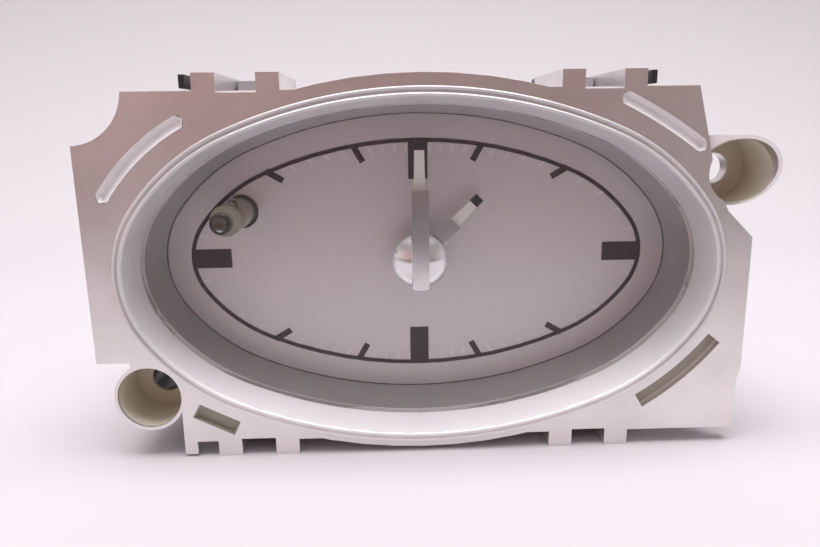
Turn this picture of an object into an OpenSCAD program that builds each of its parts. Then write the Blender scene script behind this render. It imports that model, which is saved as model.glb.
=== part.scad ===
// Oval quartz clock module for a dashboard, standing on its edge ribs with its dial upside down.
// X runs to the right of the face, Y runs back into the unit and Z is up, all in millimetres.
// The origin is where the axis of the hands crosses the front face of the flange.

/* [Oval window] */
// Half width of the window at the lens lip
window_half_w = 43; // [40:0.5:46]
// Half height of the window at the lens lip
window_half_h = 24.5; // [23.5:0.5:26]
// Depth of the lens lip behind the flange face
lip_depth = 5.3; // [4.5:0.1:6]
// Thickness of the oval wall around the window
oval_wall = 1.9; // [1.6:0.1:2.2]

/* [Flange] */
// Thickness of the flange
flange_t = 2.1; // [1.6:0.1:3]
// Flange beyond the window at the left and right
side_margin = 6; // [5:0.5:8]
// Flange beyond the window at the top
top_margin = 1.8; // [1:0.1:2.4]
// Flange beyond the window at the bottom
bottom_margin = 1.4; // [1:0.1:2.4]
// Width of the curved crown around the window at the top
crown_top = 4; // [3.4:0.1:4.1]
// Width of the curved crown around the window at the bottom
crown_bottom = 3.2; // [3:0.1:3.4]
// Radius of the round relief in the upper left corner
notch_r = 7.85; // [6:0.05:9]
// How far the upper right corner is drawn in
corner_inset = 9.7; // [8:0.1:11]
// Height of the bevel at the right edge
bevel = 4.4; // [3:0.1:6]
// Small step in the right edge
edge_step = 0.35; // [0:0.05:0.8]
// Radius of the inner bead
inner_bead_r = 0.26; // [0.2:0.01:0.3]
// Radius of the outer bead
outer_bead_r = 0.21; // [0.15:0.01:0.25]

/* [Edge ribs] */
// How far the square tabs stand above and below the flange
tab_h = 2.4; // [2:0.1:3]
// Width of the upper ribs
upper_rib_w = 3.25; // [2.6:0.05:3.6]
// Width of the lower ribs
lower_rib_w = 3.6; // [2.6:0.05:3.8]
// Distance of the inner ribs from the centre
inner_rib_x = 21.3; // [20.5:0.1:22]
// Distance of the outer ribs from the centre
outer_rib_x = 30.1; // [29.6:0.1:31]
// Length of the ribs from front to back
rib_depth = 18; // [17:0.1:18]
// Width of the corner tab at the lower left
corner_tab_w = 1.95; // [1.4:0.05:2.5]

/* [Screw sleeves] */
// Inner radius of a sleeve
sleeve_r = 4.5; // [4.2:0.05:4.8]
// Wall of a sleeve
sleeve_wall = 0.75; // [0.6:0.05:1.2]
// Depth of the sleeve floor behind the flange face
sleeve_depth = 8.65; // [7:0.05:10]
// Thickness of the sleeve floor
sleeve_floor = 2.6; // [2:0.1:3.5]
// Radius of the screw hole
screw_hole_r = 2.4; // [1.8:0.05:2.8]
// Left sleeve, distance in from the left edge
left_sleeve_x = 7.3; // [7:0.1:7.8]
// Left sleeve, distance up from the lower edge
left_sleeve_z = 7.4; // [6.8:0.1:7.8]
// Right sleeve, distance in from the right edge
right_sleeve_x = 2.6; // [2.2:0.1:3]
// Right sleeve, distance down from the upper edge
right_sleeve_z = 12.2; // [11.6:0.1:12.8]

/* [Corner grooves] */
// Width of the two upper grooves
upper_groove_w = 1.9; // [1.4:0.05:2.2]
// Width of the two lower grooves
lower_groove_w = 2.4; // [1.6:0.05:2.6]
// Depth of the grooves
groove_depth = 1.2; // [0.6:0.05:1.4]

/* [Dial and lens] */
// Thickness of the lens
lens_t = 1.3; // [1:0.05:1.4]
// Depth of the dial face behind the flange face
dial_depth = 14.4; // [14.2:0.1:15]
// Thickness of the dial
dial_t = 0.6; // [0.4:0.05:0.8]
// Thickness of the light guide
guide_t = 2.5; // [2:0.1:3]
// Width of the index ring
ring_w = 0.65; // [0.4:0.05:0.9]
// Distance of the index ring inside the window
ring_inset = 5.5; // [5:0.1:6]
// Thickness of the applied marks
mark_t = 0.12; // [0.1:0.01:0.2]
// Width of the four wide bars
bar_w = 3.15; // [2.4:0.05:3.6]
// Length of the four wide bars
bar_l = 6.3; // [5:0.1:7]
// Width of the eight short marks
short_mark_w = 1; // [0.7:0.05:1.3]
// Length of the eight short marks
short_mark_l = 3.1; // [2.5:0.1:3.8]

/* [Hands] */
// Length of the minute hand
minute_l = 19.4; // [17:0.1:19.6]
// Length of the raised bar on the minute hand
minute_bar_l = 11.4; // [9:0.1:13]
// Width of the raised bar on the minute hand
minute_bar_w = 2.65; // [2:0.05:3]
// Radius of the domed hub
hub_r = 4.4; // [4:0.1:5]
// Length of the hour hand
hour_l = 13.9; // [12:0.1:15]
// Length of the bar on the hour hand
hour_bar_l = 8.3; // [7:0.1:9.5]
// Width of the bar on the hour hand
hour_bar_w = 2.5; // [2:0.05:3]
// Angle of the hour hand from upright, clockwise
hour_angle = 45; // [0:5:90]

/* [Setting stem] */
// Radius of the stem's tip
tip_r = 1.6; // [1.3:0.05:1.9]
// Radius of the stem's body
stem_r = 2.35; // [2.1:0.05:2.5]
// How far the tip stands in front of the flange face
tip_reach = 0.3; // [0:0.1:1]
// Travel of the stem when it is pushed
push_travel = 1.5; // [1.3:0.1:1.6]

/* [Clock train] */
// Module of the motion work and setting gears
motion_module = 0.35; // [0.34:0.01:0.36]
// Module of the centre wheel and its pinion
centre_module = 0.3; // [0.28:0.01:0.31]
// Module of the third wheel and its pinion
third_module = 0.25; // [0.24:0.01:0.26]
// Module of the intermediate wheel and its pinion
fast_module = 0.2; // [0.19:0.01:0.21]
// Direction from the centre to the stem
stem_angle = 165; // [163:0.5:167]
// Direction from the centre to the third wheel
third_angle = -32; // [-33:1:-28]
// Radius of the wheel shafts
shaft_r = 0.45; // [0.4:0.01:0.5]
// Running clearance of shafts and pipes
running_gap = 0.05; // [0.03:0.01:0.08]
// Added centre distance of meshing gears
mesh_gap = 0.02; // [0.01:0.01:0.04]

/* [Movement case] */
// Half width of the movement case
case_half_w = 33.5; // [33:0.1:34]
// Half height of the movement case
case_half_h = 15; // [14.8:0.1:15.4]
// Wall of the movement case
case_wall = 1.2; // [1:0.05:1.4]
// Thickness of the movement's front plate
front_plate_t = 1.5; // [1.3:0.05:1.6]
// Depth of the movement case's inside
case_room = 8.6; // [8.5:0.05:9]
// Thickness of the circuit board
board_t = 1.6; // [1.2:0.1:1.6]

/* [Rear housing] */
// Room behind the circuit board
back_room = 4.4; // [4.2:0.1:6]
// Thickness of the back wall
back_wall = 1.6; // [1.2:0.1:2.4]
// Thickness of the housing's rim
rim_t = 2.2; // [1.6:0.1:3]
// Distance of each lamp from the centre
lamp_x = 37.6; // [37.4:0.1:37.8]
// Radius of the lamp holder's body
holder_r = 3.7; // [3.5:0.05:3.8]
// Radius of the lamp
lamp_r = 2.4; // [2:0.1:2.6]
// Inner width of the connector socket
socket_w = 17.4; // [15:0.1:20]
// Inner height of the connector socket
socket_h = 11.4; // [11:0.1:14]
// Length of the connector socket
socket_l = 9; // [6:0.5:12]
// Wall of the connector socket
socket_wall = 1.3; // [1:0.1:1.6]
// Distance of the connector from the centre
socket_x = 8; // [4:0.5:12]
// Spacing of the connector pins
pin_pitch = 2.54; // [2:0.01:3]

/* [Hidden] */
$fn = 48;

// Colours as the photo shows them
silver_paint = [0.72, 0.69, 0.68];
dial_grey = [0.62, 0.59, 0.61];
mark_brown = [0.2, 0.16, 0.19];
bright_silver = [0.82, 0.81, 0.82];
off_white = [0.85, 0.84, 0.8];
smoke = [0.36, 0.35, 0.3];
black_plastic = [0.07, 0.07, 0.08];
clear_plastic = [0.85, 0.88, 0.9, 0.35];
case_white = [0.88, 0.87, 0.83];
gear_white = [0.9, 0.89, 0.84];
brass = [0.8, 0.66, 0.35];
steel = [0.6, 0.61, 0.63];
copper = [0.72, 0.38, 0.2];
board_green = [0.1, 0.35, 0.2];

// The oval is made of eight tangent arcs: two ends, four shoulders and two long sides
shoulder_start = 36;
shoulder_end = 67;
shoulder_factor = 0.945;
shoulder_r = shoulder_factor * sqrt(window_half_w * window_half_h);
reach_x = window_half_w - shoulder_r * (cos(shoulder_start) - cos(shoulder_end));
reach_z = window_half_h + shoulder_r * (sin(shoulder_start) - sin(shoulder_end));
arc_balance = (1 - cos(shoulder_start)) * (1 - sin(shoulder_end)) - cos(shoulder_end) * sin(shoulder_start);
end_r = (reach_x * (1 - sin(shoulder_end)) - cos(shoulder_end) * reach_z) / arc_balance;
side_r = ((1 - cos(shoulder_start)) * reach_z - sin(shoulder_start) * reach_x) / arc_balance;
end_x = window_half_w - end_r;
shoulder_x = end_x + (end_r - shoulder_r) * cos(shoulder_start);
shoulder_z = (end_r - shoulder_r) * sin(shoulder_start);
side_z = window_half_h - side_r;
end_turn = 2 * shoulder_start;
shoulder_turn = shoulder_end - shoulder_start;
side_turn = 180 - 2 * shoulder_end;
// Each arc: centre x, centre z, radius, start angle, turn
oval_arcs = [
    [end_x, 0, end_r, -shoulder_start, end_turn],
    [shoulder_x, shoulder_z, shoulder_r, shoulder_start, shoulder_turn],
    [0, side_z, side_r, shoulder_end, side_turn],
    [-shoulder_x, shoulder_z, shoulder_r, 180 - shoulder_end, shoulder_turn],
    [-end_x, 0, end_r, 180 - shoulder_start, end_turn],
    [-shoulder_x, -shoulder_z, shoulder_r, 180 + shoulder_start, shoulder_turn],
    [0, -side_z, side_r, 180 + shoulder_end, side_turn],
    [shoulder_x, -shoulder_z, shoulder_r, -shoulder_end, shoulder_turn]
];
arc_steps = 12;

// Places across the oval wall, measured outwards from the lens lip
bead_z = 0.45;
funnel_rise = 0.71;
inner_bead_s = funnel_rise + inner_bead_r;
bead_groove_w = 0.5;
bead_groove_y = -0.05;
outer_bead_s = inner_bead_s + inner_bead_r + bead_groove_w + outer_bead_r;
outer_bead_y = -0.2;
lens_bore_s = 0.9;
wall_out_s = lens_bore_s + oval_wall;
wall_mid_s = (lens_bore_s + wall_out_s) / 2;
seat_gap = 0.15;
part_s = lens_bore_s - seat_gap;
far = 100;

// Edges of the flange
left_x = -(window_half_w + side_margin);
right_x = window_half_w + side_margin;
top_z = window_half_h + top_margin;
bottom_z = -(window_half_h + bottom_margin);
tab_top_z = top_z + tab_h;
tab_bottom_z = bottom_z - tab_h;
corner_x = right_x - corner_inset;
slope_foot = [right_x - 5.8, 11.2];
slope_turn = [right_x - 4.5, 8.9];
step_z = bottom_z + 8.1;
step_h = 1.7;

// Sleeve places in X and Z, and the oblique cut of the right sleeve's mouth
left_sleeve = [left_x + left_sleeve_x, bottom_z + left_sleeve_z];
right_sleeve = [right_x - right_sleeve_x, top_z - right_sleeve_z];
sleeve_out_r = sleeve_r + sleeve_wall;
sleeve_back = sleeve_depth + sleeve_floor;
mouth_y = 1.4;
mouth_slope_x = 0.48;
mouth_slope_z = 0.38;
mouth_turn = -atan(mouth_slope_x);
mouth_tilt = atan(mouth_slope_z * cos(mouth_turn));
hole_bevel = 0.35;
ledge_left_x = left_sleeve[0] - 2.4;
ledge_right_x = left_sleeve[0] + 4.67;
ledge_z = left_sleeve[1] + 5.6;

// Corner grooves as arcs: centre, radius, start and end angle
groove_upper_left = [[-18.8, -6.2], 32.2, 118.4, 145.7];
groove_upper_right = [[-2.5, -40], 72, 53.7, 63.9];
groove_lower_right = [[11.7, 14.5], 41.7, -58.6, -38];
groove_lower_left = [[-34.9, -20.8], [-28.8, -23.9]];

// Stack of plates behind the lens
lens_back = lip_depth + lens_t;
dial_back = dial_depth + dial_t;
guide_back = dial_back + guide_t;
plate_back = guide_back + front_plate_t;
case_floor = plate_back + case_room;
case_back_t = 1.2;
case_back = case_floor + case_back_t;
board_front = case_back + 0.6;
board_back = board_front + board_t;
housing_floor = board_back + back_room;
housing_back = housing_floor + back_wall;
plate_gap = 0.4;

// Tooth counts
cannon_teeth = 10;
minute_teeth = 30;
minute_pinion_teeth = 8;
hour_teeth = 32;
setting_teeth = 45;
stem_teeth = 12;
centre_teeth = 64;
third_pinion_teeth = 8;
third_teeth = 60;
intermediate_pinion_teeth = 8;
intermediate_teeth = 48;
rotor_teeth = 8;

function polar(r, a) = [r * cos(a), r * sin(a)];
function mesh_distance(size, a, b) = size * (a + b) / 2 + mesh_gap;

// Shaft places in X and Z
centre = [0, 0];
to_minute = mesh_distance(motion_module, cannon_teeth, minute_teeth);
to_setting = to_minute + mesh_distance(motion_module, minute_teeth, setting_teeth);
to_stem = to_setting + mesh_distance(motion_module, setting_teeth, stem_teeth);
minute_at = polar(to_minute, stem_angle);
setting_at = polar(to_setting, stem_angle);
stem_at = polar(to_stem, stem_angle);
third_at = polar(mesh_distance(centre_module, centre_teeth, third_pinion_teeth), third_angle);
intermediate_angle = 10;
intermediate_at = third_at
    + polar(mesh_distance(third_module, third_teeth, intermediate_pinion_teeth), intermediate_angle);
rotor_angle = 60;
rotor_at = intermediate_at
    + polar(mesh_distance(fast_module, intermediate_teeth, rotor_teeth), rotor_angle);

// Depths of the wheels
wheel_t = 0.7;
hour_wheel_y = plate_back + plate_gap;
hour_wheel_t = 0.9;
hour_wheel_back = hour_wheel_y + hour_wheel_t;
minute_wheel_y = hour_wheel_back + plate_gap;
cannon_y = hour_wheel_back + 0.2;
cannon_back = cannon_y + 1.2;
setting_wheel_y = minute_wheel_y + 0.1;
setting_wheel_t = 0.6;
stem_pinion_t = 1.2;
stem_pinion_y = setting_wheel_y - plate_gap - stem_pinion_t;
clutch_t = 0.7;
centre_wheel_y = cannon_back + clutch_t;
centre_wheel_back = centre_wheel_y + wheel_t;
third_wheel_y = centre_wheel_back + 0.5;
third_wheel_t = 0.6;
fast_wheel_y = centre_wheel_y + 0.2;
fast_wheel_t = 0.6;
fast_wheel_back = fast_wheel_y + fast_wheel_t;
magnet_y = fast_wheel_back + 0.6;
magnet_t = 1.6;
magnet_r = 2.2;
stator_t = 0.8;
stator_y = magnet_y + (magnet_t - stator_t) / 2;

// Pipes of the hands
arbor_r = 0.6;
cannon_bore_r = arbor_r + running_gap;
cannon_r = 1.2;
hour_bore_r = cannon_r + running_gap;
hour_pipe_r = 1.85;
cap_front = lens_back + 0.35;
minute_y = cap_front + 2.25;
minute_t = 0.8;
minute_back = minute_y + minute_t;
cannon_front = minute_y - 0.3;
hour_y = minute_back + 1;
hour_t = 0.8;
hour_cap_t = 0.6;
hour_hub_t = 1.3;

// Stem and its spring
body_front = 2.2;
body_shoulder = 0.8;
body_back = guide_back - push_travel - 0.1;
spindle_r = 1.2;
tail_r = 0.9;
thrust_y = stem_pinion_y + stem_pinion_t + 0.1;
thrust_t = 0.7;
thrust_r = 1.5;
spring_wire_r = 0.16;
spring_r = tail_r + running_gap + spring_wire_r + 0.1;
spring_turns = 6;
spring_steps = 8;
spring_sides = 6;

// Motor
core_half_l = 8.65;
core_z = 10.2;
core_w = 2;
bobbin_half_l = 6.25;
bobbin_flange = 1;
bobbin_half = 2.8;
bobbin_r = 1.75;
winding_r = 2.65;
pole_r = 3.9;
pole_gap = 0.4;
arm_foot_w = 2.2;
post_r = 1;
coil_at = [rotor_at[0], core_z];

// Rear housing
part_gap = 0.2;
latch_inner_x = inner_rib_x - lower_rib_w / 2 + 0.7;
finger_w = 0.85;
finger_x = outer_rib_x + upper_rib_w / 2 + 1.7;
finger_y = 3;
tongue_gap = 0.3;
catch_y = 15;
catch_t = 1.6;
hook_t = 1.2;
rim_front = rib_depth + part_gap;
rim_back = rim_front + rim_t;
latch_back = rim_back + 2;
holder_flange_r = holder_r + 1.2;
holder_flange_t = 1.5;
holder_seat_r = holder_r + 0.3;
lug_w = 2;
lug_l = 0.8;
grip_w = 2;
lamp_tip_y = dial_back + 1;
lamp_base_y = case_back;
pin_r = 0.45;
screw_r = 1;
screw_head_r = 1.8;
screw_head_t = 1;
screw_l = 7;
screw_places = [[-12, -11.6], [29, -11], [-8, 11.8]];
board_half_w = 30;
board_half_h = 13;
board_posts = [[-27, -10], [27, -10], [-27, 10], [27, 10]];

// Oval outline that lies outside the lens lip by the given distance
function oval_points(outside) = [
    for (arc = oval_arcs)
        for (i = [0 : arc_steps - 1])
            let (a = arc[3] + arc[4] * i / arc_steps)
                [arc[0] + (arc[2] + outside) * cos(a), arc[1] + (arc[2] + outside) * sin(a)]
];

// Distance from the centre to that outline in one direction
function oval_reach(outside, angle) =
    1 / sqrt(pow(cos(angle) / (window_half_w + outside), 2) + pow(sin(angle) / (window_half_h + outside), 2));

// Solid swept round the oval: a profile point is its distance outside the lens lip and its depth
module oval_sweep(profile) {
    stations = [
        for (arc = oval_arcs)
            for (i = [0 : arc_steps - 1])
                [arc[0], arc[1], arc[2], arc[3] + arc[4] * i / arc_steps]
    ];
    corners = len(profile);
    total = len(stations) * corners;
    points = [
        for (at = stations)
            for (p = profile)
                [at[0] + (at[2] + p[0]) * cos(at[3]), p[1], at[1] + (at[2] + p[0]) * sin(at[3])]
    ];
    faces = [
        for (i = [0 : len(stations) - 1])
            for (k = [0 : corners - 1])
                let (a = i * corners + k, b = i * corners + (k + 1) % corners,
                     c = (a + corners) % total, d = (b + corners) % total)
                    each [[a, c, b], [b, c, d]]
    ];
    polyhedron(points, faces);
}

// Upright oval wall between two distances outside the lens lip
module oval_tube(inner, outer, front, back) {
    slab(front, back - front)
        difference() {
            polygon(oval_points(outer));
            polygon(oval_points(inner));
        }
}

// Plate of a drawn outline, from the given depth backwards
module slab(front, thickness) {
    translate([0, front + thickness, 0])
        rotate([90, 0, 0])
            linear_extrude(thickness) children();
}

// Round bar along Y
module rod(at, r, front, back) {
    translate([at[0], back, at[1]])
        rotate([90, 0, 0])
            cylinder(r = r, h = back - front);
}

// Turned piece along Y: the profile's X is the radius, its Y is the depth
module turned(at) {
    translate([at[0], 0, at[1]])
        rotate([-90, 0, 0])
            rotate_extrude() children();
}

module block(low, high) {
    translate(low) cube(high - low);
}

module rounded_rect(half_w, half_h, r) {
    square([2 * (half_w - r), 2 * half_h], center = true);
    square([2 * half_w, 2 * (half_h - r)], center = true);
    for (x = [-1, 1])
        for (z = [-1, 1])
            translate([x * (half_w - r), z * (half_h - r)]) circle(r = r);
}

// Tooth outline of a clock gear: radial flanks on pinions, rounded tips, and backlash
function tooth_sides(teeth, size) =
    let (pitch_r = size * teeth / 2, wheel = teeth >= 30)
        wheel
            ? [[pitch_r - 1.2 * size, 0.25], [pitch_r, 0.215], [pitch_r + 0.5 * size, 0.165],
               [pitch_r + 0.95 * size, 0.07]]
            : [[pitch_r - 1.25 * size, 0.2], [pitch_r, 0.2], [pitch_r + 0.45 * size, 0.15],
               [pitch_r + 0.75 * size, 0.06]];

module gear_outline(teeth, size, phase) {
    sides = tooth_sides(teeth, size);
    last = len(sides) - 1;
    polygon([
        for (i = [0 : teeth - 1])
            let (middle = phase + i * 360 / teeth)
                for (k = [0 : 2 * last + 1])
                    let (side = sides[k <= last ? k : 2 * last + 1 - k],
                         turn = (k <= last ? -1 : 1) * side[1] * 360 / teeth)
                        polar(side[0], middle + turn)
    ]);
}

module gear(at, teeth, size, front, thickness, phase) {
    slab(front, thickness)
        translate(at) gear_outline(teeth, size, phase);
}

// Shaft from the front plate's bore to the case's bore
module shaft(at) {
    rod(at, shaft_r, guide_back + 0.6, case_floor + 0.6);
}

module shaft_bores(r) {
    for (at = [setting_at, third_at, intermediate_at, rotor_at])
        rod(at, r, guide_back + 0.5, case_floor + 0.7);
}

// Signed places of the four rib pairs: side, level
rib_pairs = [[-1, 1], [1, 1], [-1, -1], [1, -1]];

function rib_w(level) = level > 0 ? upper_rib_w : lower_rib_w;
function rib_tip(level) = level > 0 ? tab_top_z : tab_bottom_z;
function rib_root(level) = level > 0 ? window_half_h / 2 : -window_half_h / 2;
function flange_edge(level) = level > 0 ? top_z : bottom_z;

module flange_outline() {
    difference() {
        union() {
            polygon([
                [left_x, top_z], [corner_x, top_z], slope_foot, slope_turn, [right_x, bevel],
                [right_x + 0.2, step_z + step_h], [right_x - edge_step, step_z],
                [right_x - edge_step + 0.15, bottom_z], [ledge_right_x, bottom_z],
                [ledge_right_x, left_sleeve[1]], [ledge_left_x, left_sleeve[1]],
                [ledge_left_x, ledge_z], [left_x, ledge_z]
            ]);
            intersection() {
                polygon(oval_points(crown_top));
                translate([-far, 0]) square([2 * far, far]);
            }
            intersection() {
                polygon(oval_points(crown_bottom));
                translate([-far, -far]) square([2 * far, far]);
            }
            for (pair = rib_pairs)
                for (x = [inner_rib_x, outer_rib_x])
                    rib_outline(pair[0] * x, pair[1]);
            translate([ledge_right_x, tab_bottom_z + 0.35])
                square([corner_tab_w, tab_h]);
            translate(left_sleeve) circle(r = sleeve_out_r);
        }
        translate([left_x - 0.3, top_z + 0.6]) circle(r = notch_r);
    }
}

module rib_outline(x, level) {
    width = rib_w(level);
    low = min(rib_tip(level), rib_root(level));
    translate([x - width / 2, low])
        square([width, abs(rib_tip(level) - rib_root(level))]);
}

// Slanted front edge of the flange between two ribs
module gap_bevel(side, level) {
    half = rib_w(level) / 2;
    from = inner_rib_x + half;
    to = outer_rib_x - half;
    edge = flange_edge(level);
    translate([side > 0 ? from : -to, 0, 0])
        rotate([90, 0, 90])
            linear_extrude(to - from)
                polygon([[-1, edge - level * 0.6], [flange_t + 0.1, edge + level * 0.45],
                         [flange_t + 0.1, edge + level * far], [-1, edge + level * far]]);
}

module sleeve_bore(at) {
    rod(at, sleeve_r, -far, sleeve_depth);
    rod(at, screw_hole_r, 0, far);
}

// Everything in front of the oblique mouth of the right sleeve
module mouth_cut() {
    translate([right_sleeve[0], mouth_y, right_sleeve[1]])
        rotate([mouth_tilt, 0, mouth_turn])
            translate([-far / 2, -far, -far / 2]) cube(far);
}

module right_sleeve_body() {
    difference() {
        union() {
            rod(right_sleeve, sleeve_out_r, -flange_t - 2, sleeve_back);
            block([right_sleeve[0] - 7, -flange_t, right_sleeve[1] - sleeve_out_r],
                  [right_sleeve[0], sleeve_back, right_sleeve[1] + sleeve_out_r]);
        }
        mouth_cut();
    }
}

// Groove that follows an arc, with round or square ends
module arc_groove(arc, width, round_ends) {
    slab(-1, groove_depth + 1) {
        difference() {
            translate(arc[0]) circle(r = arc[1] + width / 2, $fn = 144);
            translate(arc[0]) circle(r = arc[1] - width / 2, $fn = 144);
            translate(arc[0]) polygon([
                [0, 0], polar(far * 2, arc[3]), polar(far * 2, (arc[2] + arc[3]) / 2 + 120),
                polar(far * 2, (arc[2] + arc[3]) / 2 + 240), polar(far * 2, arc[2])
            ]);
        }
        if (round_ends)
            for (a = [arc[2], arc[3]])
                translate(arc[0] + polar(arc[1], a)) circle(r = width / 2 - 0.03);
    }
}

module straight_groove(ends, width) {
    run = ends[1] - ends[0];
    slab(-1, groove_depth + 1)
        translate(ends[0])
            rotate(atan2(run[1], run[0]))
                translate([0, -width / 2]) square([norm(run), width]);
}

// Triangular stiffener behind the flange, standing between two points of the flange
module stiffener(from, to) {
    run = to - from;
    thick = 1.2;
    translate([from[0], flange_t - 0.1, from[1]])
        rotate([0, -atan2(run[1], run[0]), 0])
            translate([0, 0, thick / 2])
                rotate([0, 0, 0])
                    mirror([0, 0, 1])
                        linear_extrude(thick)
                            polygon([[0, 0], [norm(run), 0], [norm(run), norm(run) * 1.1], [0, 1.2]]);
}

module front_bezel() color(silver_paint)
    union() {
        difference() {
            union() {
                difference() {
                    union() {
                        slab(0, flange_t) flange_outline();
                        for (pair = rib_pairs) {
                            slab(0, rib_depth)
                                for (x = [inner_rib_x, outer_rib_x])
                                    rib_outline(pair[0] * x, pair[1]);
                            latch_catch(pair[0], pair[1]);
                        }
                        rod(left_sleeve, sleeve_out_r, 0, sleeve_back);
                        right_sleeve_body();
                        stiffener([left_x + 1, 9], [left_x + 6, 9]);
                        stiffener([left_x + 1, -6], [left_x + 6, -6]);
                        stiffener([right_x - 1.2, -8], [right_x - 8, -8]);
                        stiffener([-37, top_z - 1], [-34, 16]);
                        stiffener([corner_x - 3, top_z - 1], [corner_x - 6, 16]);
                        stiffener([right_x - 2, bottom_z + 2], [right_x - 13, -15]);
                    }
                    slab(-far, 2 * far) polygon(oval_points(wall_mid_s));
                }
            }
            for (pair = rib_pairs)
                gap_bevel(pair[0], pair[1]);
            sleeve_bore(left_sleeve);
            sleeve_bore(right_sleeve);
            arc_groove(groove_upper_left, upper_groove_w, true);
            arc_groove(groove_upper_right, upper_groove_w, true);
            arc_groove(groove_lower_right, lower_groove_w, false);
            straight_groove(groove_lower_left, lower_groove_w);
        }
        oval_sweep(wall_profile());
    }

function bead(s, depth, r) = [for (a = [180 : 45 : 360]) [s + r * cos(a), depth + r * sin(a)]];

// Section of the oval wall: funnel, two beads round its mouth, outer wall and lens seat
function wall_profile() =
    let (groove_in = inner_bead_s + inner_bead_r + 0.06, outer_end = outer_bead_s + outer_bead_r)
        concat(
            [[0, lip_depth]],
            bead(inner_bead_s, -bead_z, inner_bead_r),
            [[groove_in, bead_groove_y], [outer_bead_s - outer_bead_r - 0.06, bead_groove_y]],
            bead(outer_bead_s, outer_bead_y, outer_bead_r),
            [[outer_end, 0.3], [wall_out_s, 0.3], [wall_out_s, rib_depth]],
            [[lens_bore_s, rib_depth], [lens_bore_s, lip_depth]]
        );

// Ledge between two ribs that holds the housing's hook
module latch_catch(side, level) {
    low = side > 0 ? inner_rib_x : -outer_rib_x;
    high = side > 0 ? outer_rib_x : -inner_rib_x;
    edge = flange_edge(level) - level * 0.1;
    block([low, catch_y, min(edge, rib_root(level))], [high, catch_y + catch_t, max(edge, rib_root(level))]);
}

module lens() color(clear_plastic)
    difference() {
        slab(lip_depth, lens_t) polygon(oval_points(part_s));
        rod(stem_at, stem_r + part_gap, 0, far);
    }

module inner_surround() color(dial_grey)
    oval_sweep([
        [-0.1, lens_back], [part_s, lens_back], [part_s, dial_depth],
        [-1, dial_depth], [-1.17, dial_depth - 0.25]
    ]);

module dial() color(dial_grey)
    difference() {
        slab(dial_depth, dial_t) polygon(oval_points(part_s));
        rod(centre, hour_pipe_r + 0.4, 0, far);
        rod(stem_at, stem_r + 0.45, 0, far);
    }

module dial_marks() color(mark_brown)
    slab(dial_depth - mark_t, mark_t) {
        difference() {
            polygon(oval_points(ring_w / 2 - ring_inset));
            polygon(oval_points(-ring_w / 2 - ring_inset));
        }
        for (hour = [0 : 11]) {
            wide = hour % 3 == 0;
            reach = oval_reach(-ring_inset, hour * 30);
            length = wide ? bar_l : short_mark_l;
            width = wide ? bar_w : short_mark_w;
            rotate(hour * 30)
                translate([reach - length, -width / 2]) square([length, width]);
        }
    }

module light_guide() color(clear_plastic)
    difference() {
        slab(dial_back, guide_t) polygon(oval_points(part_s));
        rod(centre, hour_pipe_r + 0.55, 0, far);
        rod(stem_at, stem_r + 0.55, 0, far);
        for (side = [-1, 1])
            rod([side * lamp_x, 0], lamp_r + 0.4, lamp_tip_y - 0.4, far);
    }

// Tapered needle with a square end, along +Z from the centre
module needle_outline(length, wide, narrow, black_l) {
    polygon([[-wide / 2, 0], [wide / 2, 0], [narrow / 2, length - black_l], [narrow / 2, length],
             [-narrow / 2, length], [-narrow / 2, length - black_l]]);
}

module minute_hand() color(off_white)
    difference() {
        union() {
            slab(minute_y, minute_t) needle_outline(minute_l, 2.35, 1.55, 1.9);
            rod(centre, 2.6, minute_y, minute_back);
        }
        rod(centre, cannon_r, 0, far);
    }

// Domed hub with a raised bar across it
module minute_hand_cap() color(bright_silver)
    difference() {
        union() {
            turned(centre) intersection() {
                translate([0, minute_y + dome_drop]) circle(r = dome_r, $fn = 96);
                translate([0, cap_front + 0.25]) square([hub_r, minute_y - cap_front - 0.25]);
            }
            slab(cap_front, minute_y - cap_front)
                translate([-minute_bar_w / 2, -hub_r]) square([minute_bar_w, hub_r + minute_bar_l]);
        }
        rod(centre, 1.8, cannon_front - 0.3, far);
    }
dome_rise = 1.7;
dome_r = (hub_r * hub_r + dome_rise * dome_rise) / (2 * dome_rise);
dome_drop = dome_r - dome_rise - 0.3;

module hour_turn() {
    rotate([0, hour_angle, 0]) children();
}

module hour_hand() color(off_white)
    hour_turn()
        difference() {
            union() {
                slab(hour_y, hour_t) needle_outline(hour_l, 2.3, 1.6, 1.5);
                rod(centre, 2.9, hour_y, hour_y + hour_hub_t);
            }
            rod(centre, hour_pipe_r, 0, far);
        }

module hour_hand_cap() color(bright_silver)
    hour_turn()
        difference() {
            union() {
                rod(centre, 3.4, hour_y - hour_cap_t, hour_y);
                slab(hour_y - hour_cap_t, hour_cap_t)
                    translate([-hour_bar_w / 2, 0]) square([hour_bar_w, hour_bar_l]);
            }
            rod(centre, hour_bore_r + 0.2, 0, far);
        }

module setting_stem() color(smoke)
    turned(stem_at) polygon([
        [0, 0.1 - tip_reach], [tip_r - 0.6, 0.1 - tip_reach], [tip_r - 0.4, -tip_reach],
        [tip_r - 0.15, -tip_reach], [tip_r, 0.15 - tip_reach], [tip_r, body_front],
        [stem_r, body_front + body_shoulder], [stem_r, body_back], [spindle_r, body_back],
        [spindle_r, stem_pinion_y], [tail_r, stem_pinion_y], [tail_r, case_floor + 0.1], [0, case_floor + 0.1]
    ]);

module setting_pinion() color(gear_white)
    difference() {
        gear(stem_at, stem_teeth, motion_module, stem_pinion_y, stem_pinion_t, stem_angle);
        rod(stem_at, tail_r, 0, far);
    }

module stem_thrust_ring() color(brass)
    difference() {
        rod(stem_at, thrust_r, thrust_y, thrust_y + thrust_t);
        rod(stem_at, tail_r + running_gap, 0, far);
    }

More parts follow.
